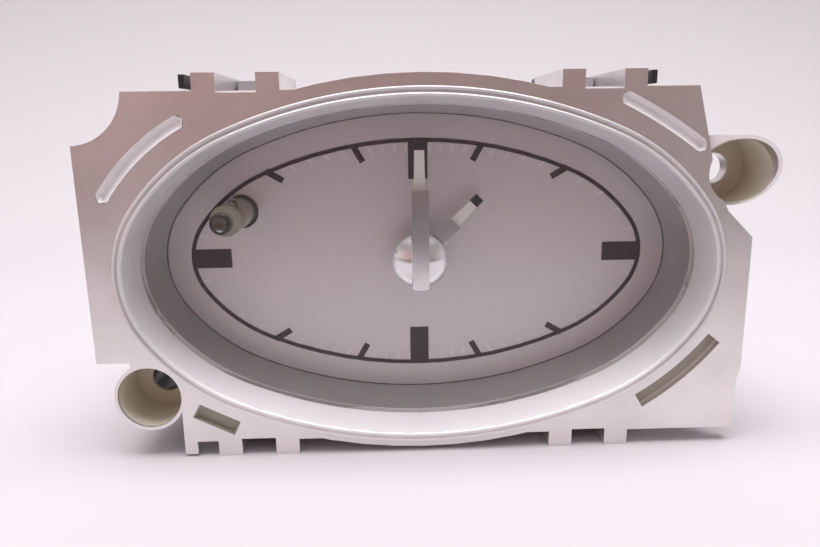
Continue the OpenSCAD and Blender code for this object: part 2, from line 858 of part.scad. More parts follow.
// Helical return spring between the thrust ring and the case
module stem_spring() color(steel) {
    front = thrust_y + thrust_t + spring_wire_r;
    back = case_floor - spring_wire_r;
    steps = spring_turns * spring_steps;
    points = [
        for (i = [0 : steps])
            for (k = [0 : spring_sides - 1])
                let (along = 360 * i / spring_steps, around = 360 * k / spring_sides,
                     r = spring_r + spring_wire_r * cos(around))
                    [stem_at[0] + r * cos(along),
                     front + (back - front) * i / steps + spring_wire_r * sin(around),
                     stem_at[1] + r * sin(along)]
    ];
    end = steps * spring_sides;
    faces = [
        for (i = [0 : steps - 1])
            for (k = [0 : spring_sides - 1])
                let (a = i * spring_sides + k, b = i * spring_sides + (k + 1) % spring_sides,
                     c = a + spring_sides, d = b + spring_sides)
                    each [[a, c, b], [b, c, d]],
        [for (k = [0 : spring_sides - 1]) k],
        [for (k = [spring_sides - 1 : -1 : 0]) end + k]
    ];
    polyhedron(points, faces);
}

module case_outline() {
    rounded_rect(case_half_w, case_half_h, 3);
}

module movement_front_plate() color(case_white)
    difference() {
        union() {
            slab(guide_back, front_plate_t) case_outline();
            rod(minute_at, shaft_r, plate_back - 0.5, minute_wheel_y + wheel_t + 0.4);
            for (side = [-1, 1])
                rod(coil_at + [side * (core_half_l - arm_foot_w / 2), 0], post_r, guide_back, stator_y);
        }
        rod(centre, hour_pipe_r + running_gap, 0, far);
        rod(stem_at, spindle_r + running_gap, 0, far);
        shaft_bores(shaft_r + running_gap);
        for (at = screw_places) {
            rod(at, screw_head_r + 0.1, 0, guide_back + screw_head_t);
            rod(at, screw_r + 0.1, 0, far);
        }
    }

module movement_case() color(case_white)
    difference() {
        union() {
            difference() {
                slab(plate_back, case_back - plate_back) case_outline();
                slab(plate_back - 1, case_room + 1)
                    rounded_rect(case_half_w - case_wall, case_half_h - case_wall, 3 - case_wall);
            }
            for (side = [-1, 1])
                rod(coil_at + [side * (core_half_l - arm_foot_w / 2), 0], post_r,
                    stator_y + stator_t, case_back - 0.5);
            for (at = screw_places)
                rod(at, 2.4, plate_back, case_back - 0.5);
            for (at = board_posts)
                rod(at, post_r, case_back - 0.5, board_front);
        }
        rod(centre, arbor_r + running_gap, case_floor - 1, case_floor + 0.7);
        rod(stem_at, tail_r + running_gap, 0, far);
        shaft_bores(shaft_r + running_gap);
        for (at = screw_places)
            rod(at, screw_r + 0.05, 0, guide_back + screw_head_t + screw_l);
        for (side = [-1, 1])
            rod(coil_pin(side), 0.5, 0, far);
    }

function coil_pin(side) = coil_at + [side * (bobbin_half_l - bobbin_flange / 2), -bobbin_half + 0.6];

module movement_screws() color(steel)
    for (at = screw_places) {
        rod(at, screw_head_r, guide_back, guide_back + screw_head_t);
        rod(at, screw_r, guide_back, guide_back + screw_head_t + screw_l - 0.3);
    }

module cannon_pinion() color(gear_white)
    difference() {
        union() {
            rod(centre, cannon_r, cannon_front, cannon_back);
            gear(centre, cannon_teeth, motion_module, cannon_y, cannon_back - cannon_y, stem_angle);
        }
        rod(centre, cannon_bore_r, 0, far);
    }

module hour_wheel() color(gear_white)
    difference() {
        union() {
            rod(centre, hour_pipe_r, hour_y, hour_wheel_back);
            gear(centre, hour_teeth, motion_module, hour_wheel_y, hour_wheel_t, stem_angle);
        }
        rod(centre, hour_bore_r, 0, far);
        lightening_holes(centre, 3.6, 0.9, 5);
    }

// Ring of round holes through a wheel's web
module lightening_holes(at, ring_r, hole_r, count) {
    for (i = [0 : count - 1])
        rod(at + polar(ring_r, i * 360 / count), hole_r, guide_back, case_floor);
}

// Runs on a post of the front plate, because the centre wheel passes behind it
module minute_wheel() color(gear_white)
    difference() {
        gap_phase = stem_angle + 180;
        union() {
            gear(minute_at, minute_teeth, motion_module, minute_wheel_y, wheel_t, gap_phase + 180 / minute_teeth);
            gear(minute_at, minute_pinion_teeth, motion_module, hour_wheel_y - 0.1,
                 minute_wheel_y - hour_wheel_y + 0.1, gap_phase + 180 / minute_pinion_teeth);
        }
        rod(minute_at, shaft_r + running_gap, 0, far);
    }

module setting_wheel() color(gear_white)
    union() {
        difference() {
            gear(setting_at, setting_teeth, motion_module, setting_wheel_y, setting_wheel_t, stem_angle + 180);
            lightening_holes(setting_at, 4.4, 1.5, 5);
        }
        shaft(setting_at);
        rod(setting_at, 1.4, hour_wheel_y, setting_wheel_y + 1.4);
    }

module centre_wheel() color(gear_white)
    difference() {
        union() {
            gear(centre, centre_teeth, centre_module, centre_wheel_y, wheel_t, third_angle);
            rod(centre, 1.6, centre_wheel_y, centre_wheel_back + 0.6);
        }
        rod(centre, arbor_r, 0, far);
        lightening_holes(centre, 5.6, 2, 5);
    }

module centre_arbor() color(steel)
    rod(centre, arbor_r, cannon_front + 0.4, case_floor + 0.6);

// Dished friction washer: it bears on the cannon pinion in front and on the centre wheel behind
module clutch_spring() color(brass)
    turned(centre) polygon([
        [0.7, cannon_back], [1.2, cannon_back], [2.6, centre_wheel_y - 0.3],
        [3.1, centre_wheel_y - 0.3], [3.1, centre_wheel_y], [2.5, centre_wheel_y],
        [1.1, cannon_back + 0.3], [0.7, cannon_back + 0.3]
    ]);

module third_wheel() color(gear_white)
    union() {
        difference() {
            gear(third_at, third_teeth, third_module, third_wheel_y, third_wheel_t, intermediate_angle);
            lightening_holes(third_at, 4.3, 1.5, 5);
        }
        gear(third_at, third_pinion_teeth, centre_module, centre_wheel_y - 0.2,
             third_wheel_y - centre_wheel_y + 0.2, third_angle + 180 + 180 / third_pinion_teeth);
        shaft(third_at);
    }

module intermediate_wheel() color(gear_white) {
    gear(intermediate_at, intermediate_teeth, fast_module, fast_wheel_y, fast_wheel_t, rotor_angle);
    gear(intermediate_at, intermediate_pinion_teeth, third_module, fast_wheel_back,
         third_wheel_y + third_wheel_t + 0.4 - fast_wheel_back,
         intermediate_angle + 180 + 180 / intermediate_pinion_teeth);
    shaft(intermediate_at);
}

module rotor_pinion() color(gear_white) {
    gear(rotor_at, rotor_teeth, fast_module, fast_wheel_y - 0.2, fast_wheel_t + 0.4,
         rotor_angle + 180 + 180 / rotor_teeth);
    rod(rotor_at, 1.1, fast_wheel_back + 0.2, magnet_y);
    shaft(rotor_at);
}

module rotor_magnet() color(steel)
    difference() {
        rod(rotor_at, magnet_r, magnet_y, magnet_y + magnet_t);
        rod(rotor_at, shaft_r, 0, far);
    }

// Soft iron plate: ring round the magnet, two arms, and the core that the coil sits on
module stator() color(steel)
    difference() {
        union() {
            rod(rotor_at, pole_r, stator_y, stator_y + stator_t);
            for (side = [-1, 1])
                slab(stator_y, stator_t)
                    translate([rotor_at[0], 0]) stator_arm(side);
            slab(stator_y, stator_t)
                translate(coil_at) square([2 * core_half_l - 1, core_w], center = true);
        }
        rod(rotor_at, magnet_r + pole_gap, 0, far);
        for (side = [-1, 1])
            slab(0, far)
                translate(rotor_at)
                    rotate(side * 90 - 15)
                        translate([magnet_r, -0.3]) square([0.9, 0.6]);
    }

module stator_arm(side) {
    polygon([
        for (p = [
            [0.3 - pole_r, rotor_at[1]], [-2, rotor_at[1] + 3],
            [arm_foot_w - core_half_l, core_z - bobbin_half - 0.4], [arm_foot_w - core_half_l, core_z + 1.3],
            [-core_half_l, core_z + 1.3], [-core_half_l, core_z - bobbin_half - 2]
        ])
            [side * p[0], p[1]]
    ]);
}

module coil_bobbin() color(off_white) {
    middle_y = stator_y + stator_t / 2;
    difference() {
        union() {
            translate([coil_at[0] - bobbin_half_l, middle_y, coil_at[1]])
                rotate([0, 90, 0]) cylinder(r = bobbin_r, h = 2 * bobbin_half_l);
            for (side = [-1, 1])
                translate([coil_at[0] + side * (bobbin_half_l - bobbin_flange / 2), middle_y, coil_at[1]])
                    cube([bobbin_flange, 2 * bobbin_half, 2 * bobbin_half], center = true);
            for (side = [-1, 1])
                rod(coil_pin(side), 0.3, middle_y, board_front);
        }
        translate([coil_at[0], middle_y, coil_at[1]])
            cube([far, stator_t + 0.1, core_w + 0.1], center = true);
    }
}

module coil_winding() color(copper)
    translate([coil_at[0] - bobbin_half_l + bobbin_flange, stator_y + stator_t / 2, coil_at[1]])
        rotate([0, 90, 0])
            difference() {
                cylinder(r = winding_r, h = 2 * (bobbin_half_l - bobbin_flange));
                translate([0, 0, -1]) cylinder(r = bobbin_r, h = 2 * bobbin_half_l);
            }

function pin_place(i) = [socket_x + (i - 1.5) * pin_pitch, 0];

module circuit_board() color(board_green)
    difference() {
        slab(board_front, board_t) rounded_rect(board_half_w, board_half_h, 1.5);
        for (i = [0 : 3])
            rod(pin_place(i), pin_r + 0.05, 0, far);
    }

module driver_chip() color(black_plastic)
    block([-14, board_back, 1], [-7, board_back + 1.5, 8]);

module quartz_crystal() color(steel)
    translate([-16, board_back + 1.5, -6])
        rotate([0, 90, 0]) cylinder(r = 1.5, h = 8);

module capacitor() color(black_plastic)
    translate([-4, board_back + 2, -8])
        rotate([0, 90, 0]) cylinder(r = 2, h = 9);

module connector_pins() color(brass)
    for (i = [0 : 3])
        turned(pin_place(i)) polygon([
            [0, board_front + 0.2], [pin_r, board_front + 0.2], [pin_r, housing_back + socket_l - 3],
            [pin_r / 2, housing_back + socket_l - 2], [0, housing_back + socket_l - 2]
        ]);

// Latch bar behind one rib pair, with the hooked tongue between the ribs and the finger outside them
module latch(side, level) {
    tip = rib_tip(level);
    edge = flange_edge(level);
    half = rib_w(level) / 2;
    finger = level > 0 ? [edge + 0.5, edge + 2.4] : [edge - 1, edge - 0.1];
    inner = inner_rib_x + half + tongue_gap;
    outer = outer_rib_x - half - tongue_gap;
    mirror([side > 0 ? 0 : 1, 0, 0]) {
        block([latch_inner_x, rim_front, min(tip, rib_root(level))],
              [finger_x + finger_w, latch_back, max(tip, rib_root(level))]);
        block([inner, catch_y - part_gap - hook_t, min(tip - level * 0.3, edge + level * 0.05)],
              [outer, rim_front + 1, max(tip - level * 0.3, edge + level * 0.05)]);
        block([inner, catch_y - part_gap - hook_t, min(tip - level * 0.3, edge - level * 0.9)],
              [outer, catch_y - part_gap, max(tip - level * 0.3, edge - level * 0.9)]);
        block([finger_x, finger_y, min(finger)], [finger_x + finger_w, rim_front + 1, max(finger)]);
    }
}

module rear_housing() color(black_plastic)
    difference() {
        union() {
            difference() {
                for (pair = rib_pairs)
                    latch(pair[0], pair[1]);
                slab(0, far) polygon(oval_points(0.5));
            }
            oval_tube(-0.5, part_s, guide_back, rim_back - 0.5);
            oval_tube(-0.3, wall_out_s - 0.2, rim_front, rim_back);
            oval_sweep([
                [-0.6, rim_back - 1], [1.5, rim_back - 1], [0.9, housing_back], [-0.9, housing_back]
            ]);
            slab(housing_floor, back_wall - 0.1) polygon(oval_points(-0.1));
            for (at = board_posts)
                rod(at, 1.6, board_back, housing_floor + 0.5);
            for (side = [-1, 1])
                rod([side * lamp_x, 0], holder_flange_r, housing_floor, housing_back);
            slab(housing_back - 0.5, socket_l + 0.5) translate([socket_x, 0])
                rounded_rect(socket_w / 2 + socket_wall, socket_h / 2 + socket_wall, 1.5);
            for (z = [-12, 12])
                block([-24, housing_back - 0.5, z - 0.6], [26, housing_back + 1, z + 0.6]);
            for (x = [-22, -12])
                block([x - 0.6, housing_back - 0.5, -17], [x + 0.6, housing_back + 1, 17]);
        }
        slab(housing_back, far) translate([socket_x, 0])
            rounded_rect(socket_w / 2, socket_h / 2, 0.6);
        for (i = [0 : 3])
            rod(pin_place(i), pin_r + 0.15, 0, far);
        for (side = [-1, 1]) {
            rod([side * lamp_x, 0], holder_seat_r, 0, far);
            for (x = [-1, 1])
                block([side * lamp_x - 1.2, 0, x > 0 ? 0 : -holder_seat_r - lug_l],
                      [side * lamp_x + 1.2, housing_back + 1, x > 0 ? holder_seat_r + lug_l : 0]);
        }
        for (x = [-18 : 3 : -15])
            block([x, housing_floor - 1, -8], [x + 1.4, far, 8]);
    }

// Twist-lock holder: body, flange outside the back wall, lugs inside it, and a grip
module lamp_holder(side) {
    at = [side * lamp_x, 0];
    lug_y = housing_floor - 0.15 - 1.2;
    difference() {
        union() {
            rod(at, holder_r, lamp_base_y, housing_back + 1);
            rod(at, holder_flange_r, housing_back, housing_back + holder_flange_t);
            translate([at[0], 0, 0]) rotate([0, -45, 0])
                block([-1, lug_y, -holder_r - lug_l], [1, lug_y + 1.2, holder_r + lug_l]);
            block([at[0] - grip_w / 2, housing_back + 1, -holder_r], [at[0] + grip_w / 2, housing_back + 5.5, holder_r]);
        }
        rod(at, lamp_r, 0, lamp_base_y + 4);
    }
}

module lamp(side) {
    turned([side * lamp_x, 0]) polygon([
        [0, lamp_tip_y], [lamp_r * 0.6, lamp_tip_y + 0.4], [lamp_r * 0.92, lamp_tip_y + 1.4],
        [lamp_r, lamp_tip_y + 3], [lamp_r, lamp_base_y + 4], [0, lamp_base_y + 4]
    ]);
}

module lamp_holder_left() color(black_plastic) lamp_holder(-1);
module lamp_holder_right() color(black_plastic) lamp_holder(1);
module lamp_left() color(clear_plastic) lamp(-1);
module lamp_right() color(clear_plastic) lamp(1);

front_bezel();
lens();
inner_surround();
dial();
dial_marks();
light_guide();
minute_hand();
minute_hand_cap();
hour_hand();
hour_hand_cap();
setting_stem();
setting_pinion();
stem_thrust_ring();
stem_spring();
movement_front_plate();
movement_case();
movement_screws();
cannon_pinion();
hour_wheel();
minute_wheel();
setting_wheel();
centre_wheel();
centre_arbor();
clutch_spring();
third_wheel();
intermediate_wheel();
rotor_pinion();
rotor_magnet();
stator();
coil_bobbin();
coil_winding();
circuit_board();
driver_chip();
quartz_crystal();
capacitor();
connector_pins();
rear_housing();
lamp_holder_left();
lamp_holder_right();
lamp_left();
lamp_right();
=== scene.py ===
import math

import bmesh
import bpy
from mathutils import Matrix, Vector


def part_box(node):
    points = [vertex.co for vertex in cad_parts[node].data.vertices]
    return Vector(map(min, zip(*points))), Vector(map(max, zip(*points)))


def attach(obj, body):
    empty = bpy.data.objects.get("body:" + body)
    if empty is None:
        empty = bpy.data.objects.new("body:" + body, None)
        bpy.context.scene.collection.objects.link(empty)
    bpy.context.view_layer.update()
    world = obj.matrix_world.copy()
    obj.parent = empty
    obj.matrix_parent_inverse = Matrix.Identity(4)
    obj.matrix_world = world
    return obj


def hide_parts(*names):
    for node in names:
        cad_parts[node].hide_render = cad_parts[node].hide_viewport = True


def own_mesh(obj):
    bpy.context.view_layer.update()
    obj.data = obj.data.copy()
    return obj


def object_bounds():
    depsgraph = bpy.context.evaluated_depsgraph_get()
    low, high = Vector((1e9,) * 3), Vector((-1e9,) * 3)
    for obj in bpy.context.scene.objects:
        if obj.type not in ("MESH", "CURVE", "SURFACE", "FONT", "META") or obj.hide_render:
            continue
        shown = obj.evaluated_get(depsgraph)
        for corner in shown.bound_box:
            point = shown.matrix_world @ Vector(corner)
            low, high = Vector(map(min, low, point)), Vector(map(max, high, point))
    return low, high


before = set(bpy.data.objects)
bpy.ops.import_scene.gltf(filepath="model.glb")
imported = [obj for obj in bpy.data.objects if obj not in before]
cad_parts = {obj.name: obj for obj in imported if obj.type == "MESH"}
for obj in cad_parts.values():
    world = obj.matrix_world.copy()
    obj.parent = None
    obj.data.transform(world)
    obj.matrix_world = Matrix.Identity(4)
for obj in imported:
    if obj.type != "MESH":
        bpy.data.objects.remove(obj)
cad_low, cad_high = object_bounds()
MM = 0.001

# Camera: close to the clock, a little above it and to the left of its middle, looking down on
# the standing face. Its place was worked out from the ovals and edges of the face.
camera_place = Vector((-5.419, -95.401, 21.298)) * MM
camera_pitch, camera_yaw, camera_roll = (math.radians(a) for a in (12.5886, 2.0471, 0.7466))
sensor_width = 36
focal_length_px = 663.665
picture_width_px = 820
camera_forward = Vector((math.sin(camera_yaw) * math.cos(camera_pitch),
                         math.cos(camera_yaw) * math.cos(camera_pitch), -math.sin(camera_pitch)))
level_right = Vector((math.cos(camera_yaw), -math.sin(camera_yaw), 0))
level_down = camera_forward.cross(level_right)
camera_right = math.cos(camera_roll) * level_right + math.sin(camera_roll) * level_down
camera_up = math.sin(camera_roll) * level_right - math.cos(camera_roll) * level_down
camera_data = bpy.data.cameras.new("camera")
camera_data.sensor_width = sensor_width
camera_data.lens = sensor_width * focal_length_px / picture_width_px
camera_data.clip_start, camera_data.clip_end = 0.002, 20
camera = bpy.data.objects.new("camera", camera_data)
camera.matrix_world = Matrix.Translation(camera_place) @ Matrix(
    (camera_right, camera_up, -camera_forward)).transposed().to_4x4()
bpy.context.scene.collection.objects.link(camera)
bpy.context.scene.camera = camera

# Studio: one pale sheet of paper under the clock that bends up behind it, lit by a soft white
# ceiling. In front the paper ends early in the clock's mirrored view, where the room is dim and
# warm, so a second sheet that only the camera sees carries the floor on.
floor_z = cad_low[2] - 0.02 * MM
paper_half_width = 1.2
paper_front = -0.125
paper_top = 1.2
bend_start = 0.15
bend_r = 0.12
bend_steps = 16
bend_degrees = 5.6
bend_rise = 0.05
front_sheet_end = -1.5
paper_finish = bpy.data.materials.new("pale paper")
paper_finish.use_nodes = True
paper_shader = paper_finish.node_tree.nodes["Principled BSDF"]
paper_shader.inputs["Base Color"].default_value = (0.56, 0.54, 0.56, 1)
paper_shader.inputs["Roughness"].default_value = 0.95


def paper_sheet(name, line):
    """Wide sheet of paper that follows (depth, height) points, in metres."""
    mesh = bpy.data.meshes.new(name)
    mesh.from_pydata([(x, y, z) for y, z in line for x in (-paper_half_width, paper_half_width)],
                     [], [(2 * i, 2 * i + 1, 2 * i + 3, 2 * i + 2) for i in range(len(line) - 1)])
    mesh.materials.append(paper_finish)
    sheet = bpy.data.objects.new(name, mesh)
    bpy.context.scene.collection.objects.link(sheet)
    return sheet


paper_line = [(paper_front, floor_z), (bend_start, floor_z)]
for step in range(1, bend_steps + 1):
    turn = math.radians(step * bend_degrees)
    paper_line.append((bend_start + bend_r * math.sin(turn),
                       floor_z + bend_r * (1 - math.cos(turn))))
paper_line.append((bend_start + bend_r + bend_rise, paper_top))
paper = paper_sheet("paper", paper_line)
for face in paper.data.polygons:
    face.use_smooth = True
front_paper = paper_sheet("front paper", [(front_sheet_end, paper_top), (front_sheet_end, floor_z),
                                          (paper_front, floor_z)])
front_paper.visible_diffuse = front_paper.visible_glossy = False
front_paper.visible_transmission = front_paper.visible_shadow = False


def soft_light(name, place, aim, width, height, watts, colour):
    """Large soft panel of light at a place, turned to a point, in metres."""
    panel = bpy.data.lights.new(name, "AREA")
    panel.shape = "RECTANGLE"
    panel.size, panel.size_y = width, height
    panel.energy = watts
    panel.color = colour
    lamp = bpy.data.objects.new(name, panel)
    lamp.location = place
    lamp.rotation_euler = (Vector(aim) - Vector(place)).to_track_quat("-Z", "Y").to_euler()
    bpy.context.scene.collection.objects.link(lamp)


soft_light("ceiling panel", (0.0, -0.045, 0.48), (0, -0.045, 0), 0.6, 0.27, 2.95, (1, 0.985, 1))
soft_light("backdrop panel", (0, 0.02, 0.42), (0, 0.3, 0.2), 0.9, 0.12, 0.8, (1, 0.97, 1))
room = bpy.data.worlds.new("studio room")
room.use_nodes = True
bpy.context.scene.world = room
room_nodes, room_links = room.node_tree.nodes, room.node_tree.links
room_direction = room_nodes.new("ShaderNodeTexCoord")
room_axes = room_nodes.new("ShaderNodeSeparateXYZ")
room_links.new(room_direction.outputs["Generated"], room_axes.inputs[0])


def room_ramp(axis, low, high, stops):
    """Colours of the room along one axis, from the low value to the high value."""
    span = room_nodes.new("ShaderNodeMapRange")
    span.inputs["From Min"].default_value = low
    span.inputs["From Max"].default_value = high
    ramp = room_nodes.new("ShaderNodeValToRGB")
    first, last = ramp.color_ramp.elements
    (first.position, first_colour), (last.position, last_colour) = stops[0], stops[-1]
    first.color, last.color = (*first_colour, 1), (*last_colour, 1)
    for position, colour in stops[1:-1]:
        ramp.color_ramp.elements.new(position).color = (*colour, 1)
    room_links.new(room_axes.outputs[axis], span.inputs["Value"])
    room_links.new(span.outputs["Result"], ramp.inputs["Fac"])
    return ramp.outputs["Color"]


def room_layer(below, axis, hidden_at, full_at, colour):
    """Lays one more colour over the room, from where it is hidden to where it is full."""
    fade = [(0, (0, 0, 0)), (1, (1, 1, 1))] if hidden_at < full_at else [(0, (1, 1, 1)),
                                                                         (1, (0, 0, 0))]
    layer = room_nodes.new("ShaderNodeMix")
    layer.data_type = "RGBA"
    layer.inputs["B"].default_value = (*colour, 1)
    room_links.new(room_ramp(axis, min(hidden_at, full_at), max(hidden_at, full_at), fade),
                   layer.inputs["Factor"])
    room_links.new(below, layer.inputs["A"])
    return layer.outputs["Result"]


# The walls change from left to right, and the back, the top and the table are laid over them.
walls = room_ramp("X", -1, 1, [
    (0.0, (0.9, 0.86, 0.88)), (0.15, (0.8, 0.58, 0.55)), (0.31, (0.64, 0.37, 0.33)),
    (0.42, (0.44, 0.22, 0.19)), (0.5, (0.27, 0.12, 0.1)), (0.62, (0.3, 0.135, 0.11)),
    (0.69, (0.33, 0.22, 0.2)), (0.77, (0.4, 0.32, 0.3)), (0.88, (0.5, 0.44, 0.43)),
    (1.0, (0.8, 0.76, 0.78))])
behind_clock = room_layer(walls, "Y", 0.1, 0.7, (0.84, 0.775, 0.83))
upper_walls = room_layer(behind_clock, "Z", 0.22, 0.5, (0.42, 0.39, 0.4))
ceiling = room_layer(upper_walls, "Z", 0.55, 0.92, (1.1, 1.06, 1.1))
below_table = room_layer(ceiling, "Z", -0.01, -0.1, (0.12, 0.1, 0.105))
room_links.new(below_table, room_nodes["Background"].inputs["Color"])
room_nodes["Background"].inputs["Strength"].default_value = 1.0
bpy.context.scene.view_settings.view_transform = "Standard"

# Front bezel: one silver-painted plastic moulding with the shaped flange, the double bead round
# the window, four corner grooves, edge ribs and two screw sleeves. Its mould edges are a little
# rounded, and the paint has a fine metallic grain with faint stains.
bezel_fillet = 0.14 * MM
crease = math.radians(32)
corner_gap = 0.002 * MM
flat_angle = math.radians(0.6)
left_sleeve, right_sleeve = (-41.7, -18.5), (46.4, 14.1)
sleeve_r = 4.75
sleeve_front_y = -3
sleeve_floor_y = 8.65
left_boss_r = 4.4
left_boss_front = 11.0
left_boss_back = 17.45
screw_hole_r = 2.42
hole_front = 8
hole_back = 18
# The dark olive for the lower grooves and the near black for the long hole are painted shade.
sleeve_olive, groove_painted_shade = (0.67, 0.62, 0.51), (0.36, 0.34, 0.27)
hole_painted_shade, paint_shine = (0.016, 0.01, 0.016), 0.85
thin_paint_and_shade_from = (0.15, 0.7)
sleeve_thin_to = (9.4, 9.1)
groove_shade_to = (1.5, 1.4)
sleeve_thin_r = 4.9
hole_shade_r = 2.5
hole_shade_from = (8.9, 9.6)
left_groove_area = ((-31.85, -22.35), 3.3)
right_groove_area, right_groove_circle = ((39.4, -16.6), 8.0), ((11.7, 14.5), 42.62)


def lathe(profile, centre_x, centre_z, sides=96):
    """Turned solid along Y from (radius, depth) points in millimetres."""
    shell = bmesh.new()
    turns = [2 * math.pi * k / sides for k in range(sides)]
    rings = []
    for r, y in profile:
        if r < 1e-6:
            rings.append([shell.verts.new((centre_x * MM, y * MM, centre_z * MM))])
            continue
        rings.append([shell.verts.new(((centre_x + r * math.cos(turn)) * MM, y * MM,
                                       (centre_z + r * math.sin(turn)) * MM)) for turn in turns])
    for a, b in zip(rings, rings[1:]):
        for k in range(sides):
            corners = [a[k % len(a)], a[(k + 1) % len(a)], b[(k + 1) % len(b)], b[k % len(b)]]
            corners = list(dict.fromkeys(corners))
            if len(corners) > 2:
                shell.faces.new(corners)
    return shell


def shape_from(name, shell, fillet=0, sharp_from=crease):
    """Turns a bmesh into an object with rounded and smooth edges."""
    def is_sharp(edge):
        return len(edge.link_faces) == 2 and edge.calc_face_angle() > sharp_from

    if fillet:
        bmesh.ops.bevel(shell, geom=[edge for edge in shell.edges if is_sharp(edge)],
                        offset=fillet, segments=3, affect="EDGES", clamp_overlap=True)
    bmesh.ops.recalc_face_normals(shell, faces=shell.faces)
    for face in shell.faces:
        face.smooth = True
    for edge in shell.edges:
        edge.smooth = not is_sharp(edge)
    mesh = bpy.data.meshes.new(name)
    shell.to_mesh(mesh)
    shell.free()
    shape = bpy.data.objects.new(name, mesh)
    bpy.context.scene.collection.objects.link(shape)
    return shape


def solid_from(name, shell, body, replaced=(), sharp_from=crease):
    """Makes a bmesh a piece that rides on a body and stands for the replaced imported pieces."""
    piece = shape_from(name, shell, 0, sharp_from)
    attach(piece, body)
    if replaced:
        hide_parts(*replaced)
    return piece


def merge(base, other, operation="UNION"):
    """Joins a second shape into the first as one solid, or cuts it out, and removes the second."""
    join = base.modifiers.new("join", "BOOLEAN")
    join.operation = operation
    join.solver = "EXACT"
    join.object = other
    bpy.context.view_layer.update()
    base_now = base.evaluated_get(bpy.context.evaluated_depsgraph_get())
    joined = bpy.data.meshes.new_from_object(base_now)
    base.modifiers.clear()
    base.data = joined
    bpy.data.objects.remove(other)


def moulded(piece, fillet):
    """Gives a piece smooth curved faces and small rounded edges, as a moulding has."""
    stored_normals = piece.data.attributes.get("custom_normal")
    if stored_normals:
        piece.data.attributes.remove(stored_normals)
    for face in piece.data.polygons:
        face.use_smooth = True
    weld = piece.modifiers.new("join corners", "WELD")
    weld.merge_threshold = corner_gap
    flat = piece.modifiers.new("whole faces", "DECIMATE")
    flat.decimate_type = "DISSOLVE"
    flat.angle_limit = flat_angle
    if fillet:
        edges = piece.modifiers.new("rounded edges", "BEVEL")
        edges.limit_method = "ANGLE"
        edges.angle_limit = crease
        edges.width = fillet
        edges.segments = 2
        edges.miter_outer = "MITER_ARC"
        edges.use_clamp_overlap = True
        edges.harden_normals = True
    else:
        edges = piece.modifiers.new("crisp edges", "EDGE_SPLIT")
        edges.split_angle = crease


def coat_with(piece, finish):
    piece.data.materials.clear()
    piece.data.materials.append(finish)


def new_finish(name, roughness, metallic=0.0, sockets=None):
    """A material and its main shader, with what is the same all over the surface."""
    finish = bpy.data.materials.new(name)
    finish.use_nodes = True
    shader = finish.node_tree.nodes["Principled BSDF"]
    shader.inputs["Roughness"].default_value = roughness
    shader.inputs["Metallic"].default_value = metallic
    for socket, value in (sockets or {}).items():
        shader.inputs[socket].default_value = value
    return finish, shader


def add_noise(place, size_mm, detail):
    """Fine clouds of the given size over the surface."""
    noise = place.id_data.nodes.new("ShaderNodeTexNoise")
    noise.inputs["Scale"].default_value = 1 / (size_mm * MM)
    noise.inputs["Detail"].default_value = detail
    place.id_data.links.new(place, noise.inputs["Vector"])
    return noise.outputs["Fac"]


def add_grain(shader, size_mm, depth_mm, detail):
    """Fine surface relief. Returns the place on the piece, which other textures use."""
    tree = shader.id_data
    place = tree.nodes.new("ShaderNodeTexCoord").outputs["Object"]
    bump = tree.nodes.new("ShaderNodeBump")
    bump.inputs["Distance"].default_value = depth_mm * MM
    bump.inputs["Strength"].default_value = 1
    tree.links.new(add_noise(place, size_mm, detail), bump.inputs["Height"])
    tree.links.new(bump.outputs["Normal"], shader.inputs["Normal"])
    return place


def add_colour_drift(shader, place, size_mm, light, dark, spread=(0.35, 0.7)):
    """Cloudy change between two colours, as paint and plastic have."""
    ramp = shader.id_data.nodes.new("ShaderNodeValToRGB")
    first, last = ramp.color_ramp.elements
    first.position, last.position = spread
    first.color, last.color = (*light, 1), (*dark, 1)
    shader.id_data.links.new(add_noise(place, size_mm, 5), ramp.inputs["Fac"])
    shader.id_data.links.new(ramp.outputs["Color"], shader.inputs["Base Color"])
    return ramp.outputs["Color"]


def feed(value, socket):
    """Gives a socket a plain value, or what another socket sends."""
    if hasattr(value, "node"):
        socket.id_data.links.new(value, socket)
    else:
        socket.default_value = value


def split_axes(place):
    axes = place.id_data.nodes.new("ShaderNodeSeparateXYZ")
    place.id_data.links.new(place, axes.inputs[0])
    return axes.outputs


def ease(value, start, end):
    """0 up to the start value, 1 from the end value on."""
    span = value.id_data.nodes.new("ShaderNodeMapRange")
    span.interpolation_type = "SMOOTHSTEP"
    span.inputs["From Min"].default_value = start
    span.inputs["From Max"].default_value = end
    value.id_data.links.new(value, span.inputs["Value"])
    return span.outputs["Result"]


def between(value, start, end):
    """0 up to the start, 1 from the end on, with both in millimetres."""
    return ease(value, start * MM, end * MM)


def combine(operation, *values):
    node = values[0].id_data.nodes.new("ShaderNodeMath")
    node.operation = operation
    for value, socket in zip(values, node.inputs):
        feed(value, socket)
    return node.outputs[0]


def all_of(mask, *others):
    for other in others:
        mask = combine("MULTIPLY", mask, other)
    return mask


def any_of(mask, *others):
    for other in others:
        mask = combine("MAXIMUM", mask, other)
    return mask


def mix_colour(factor, first, second):
    node = factor.id_data.nodes.new("ShaderNodeMix")
    node.data_type = "RGBA"
    feed(factor, node.inputs["Factor"])
    feed(first if hasattr(first, "node") else (*first, 1), node.inputs["A"])
    node.inputs["B"].default_value = (*second, 1)
    return node.outputs["Result"]


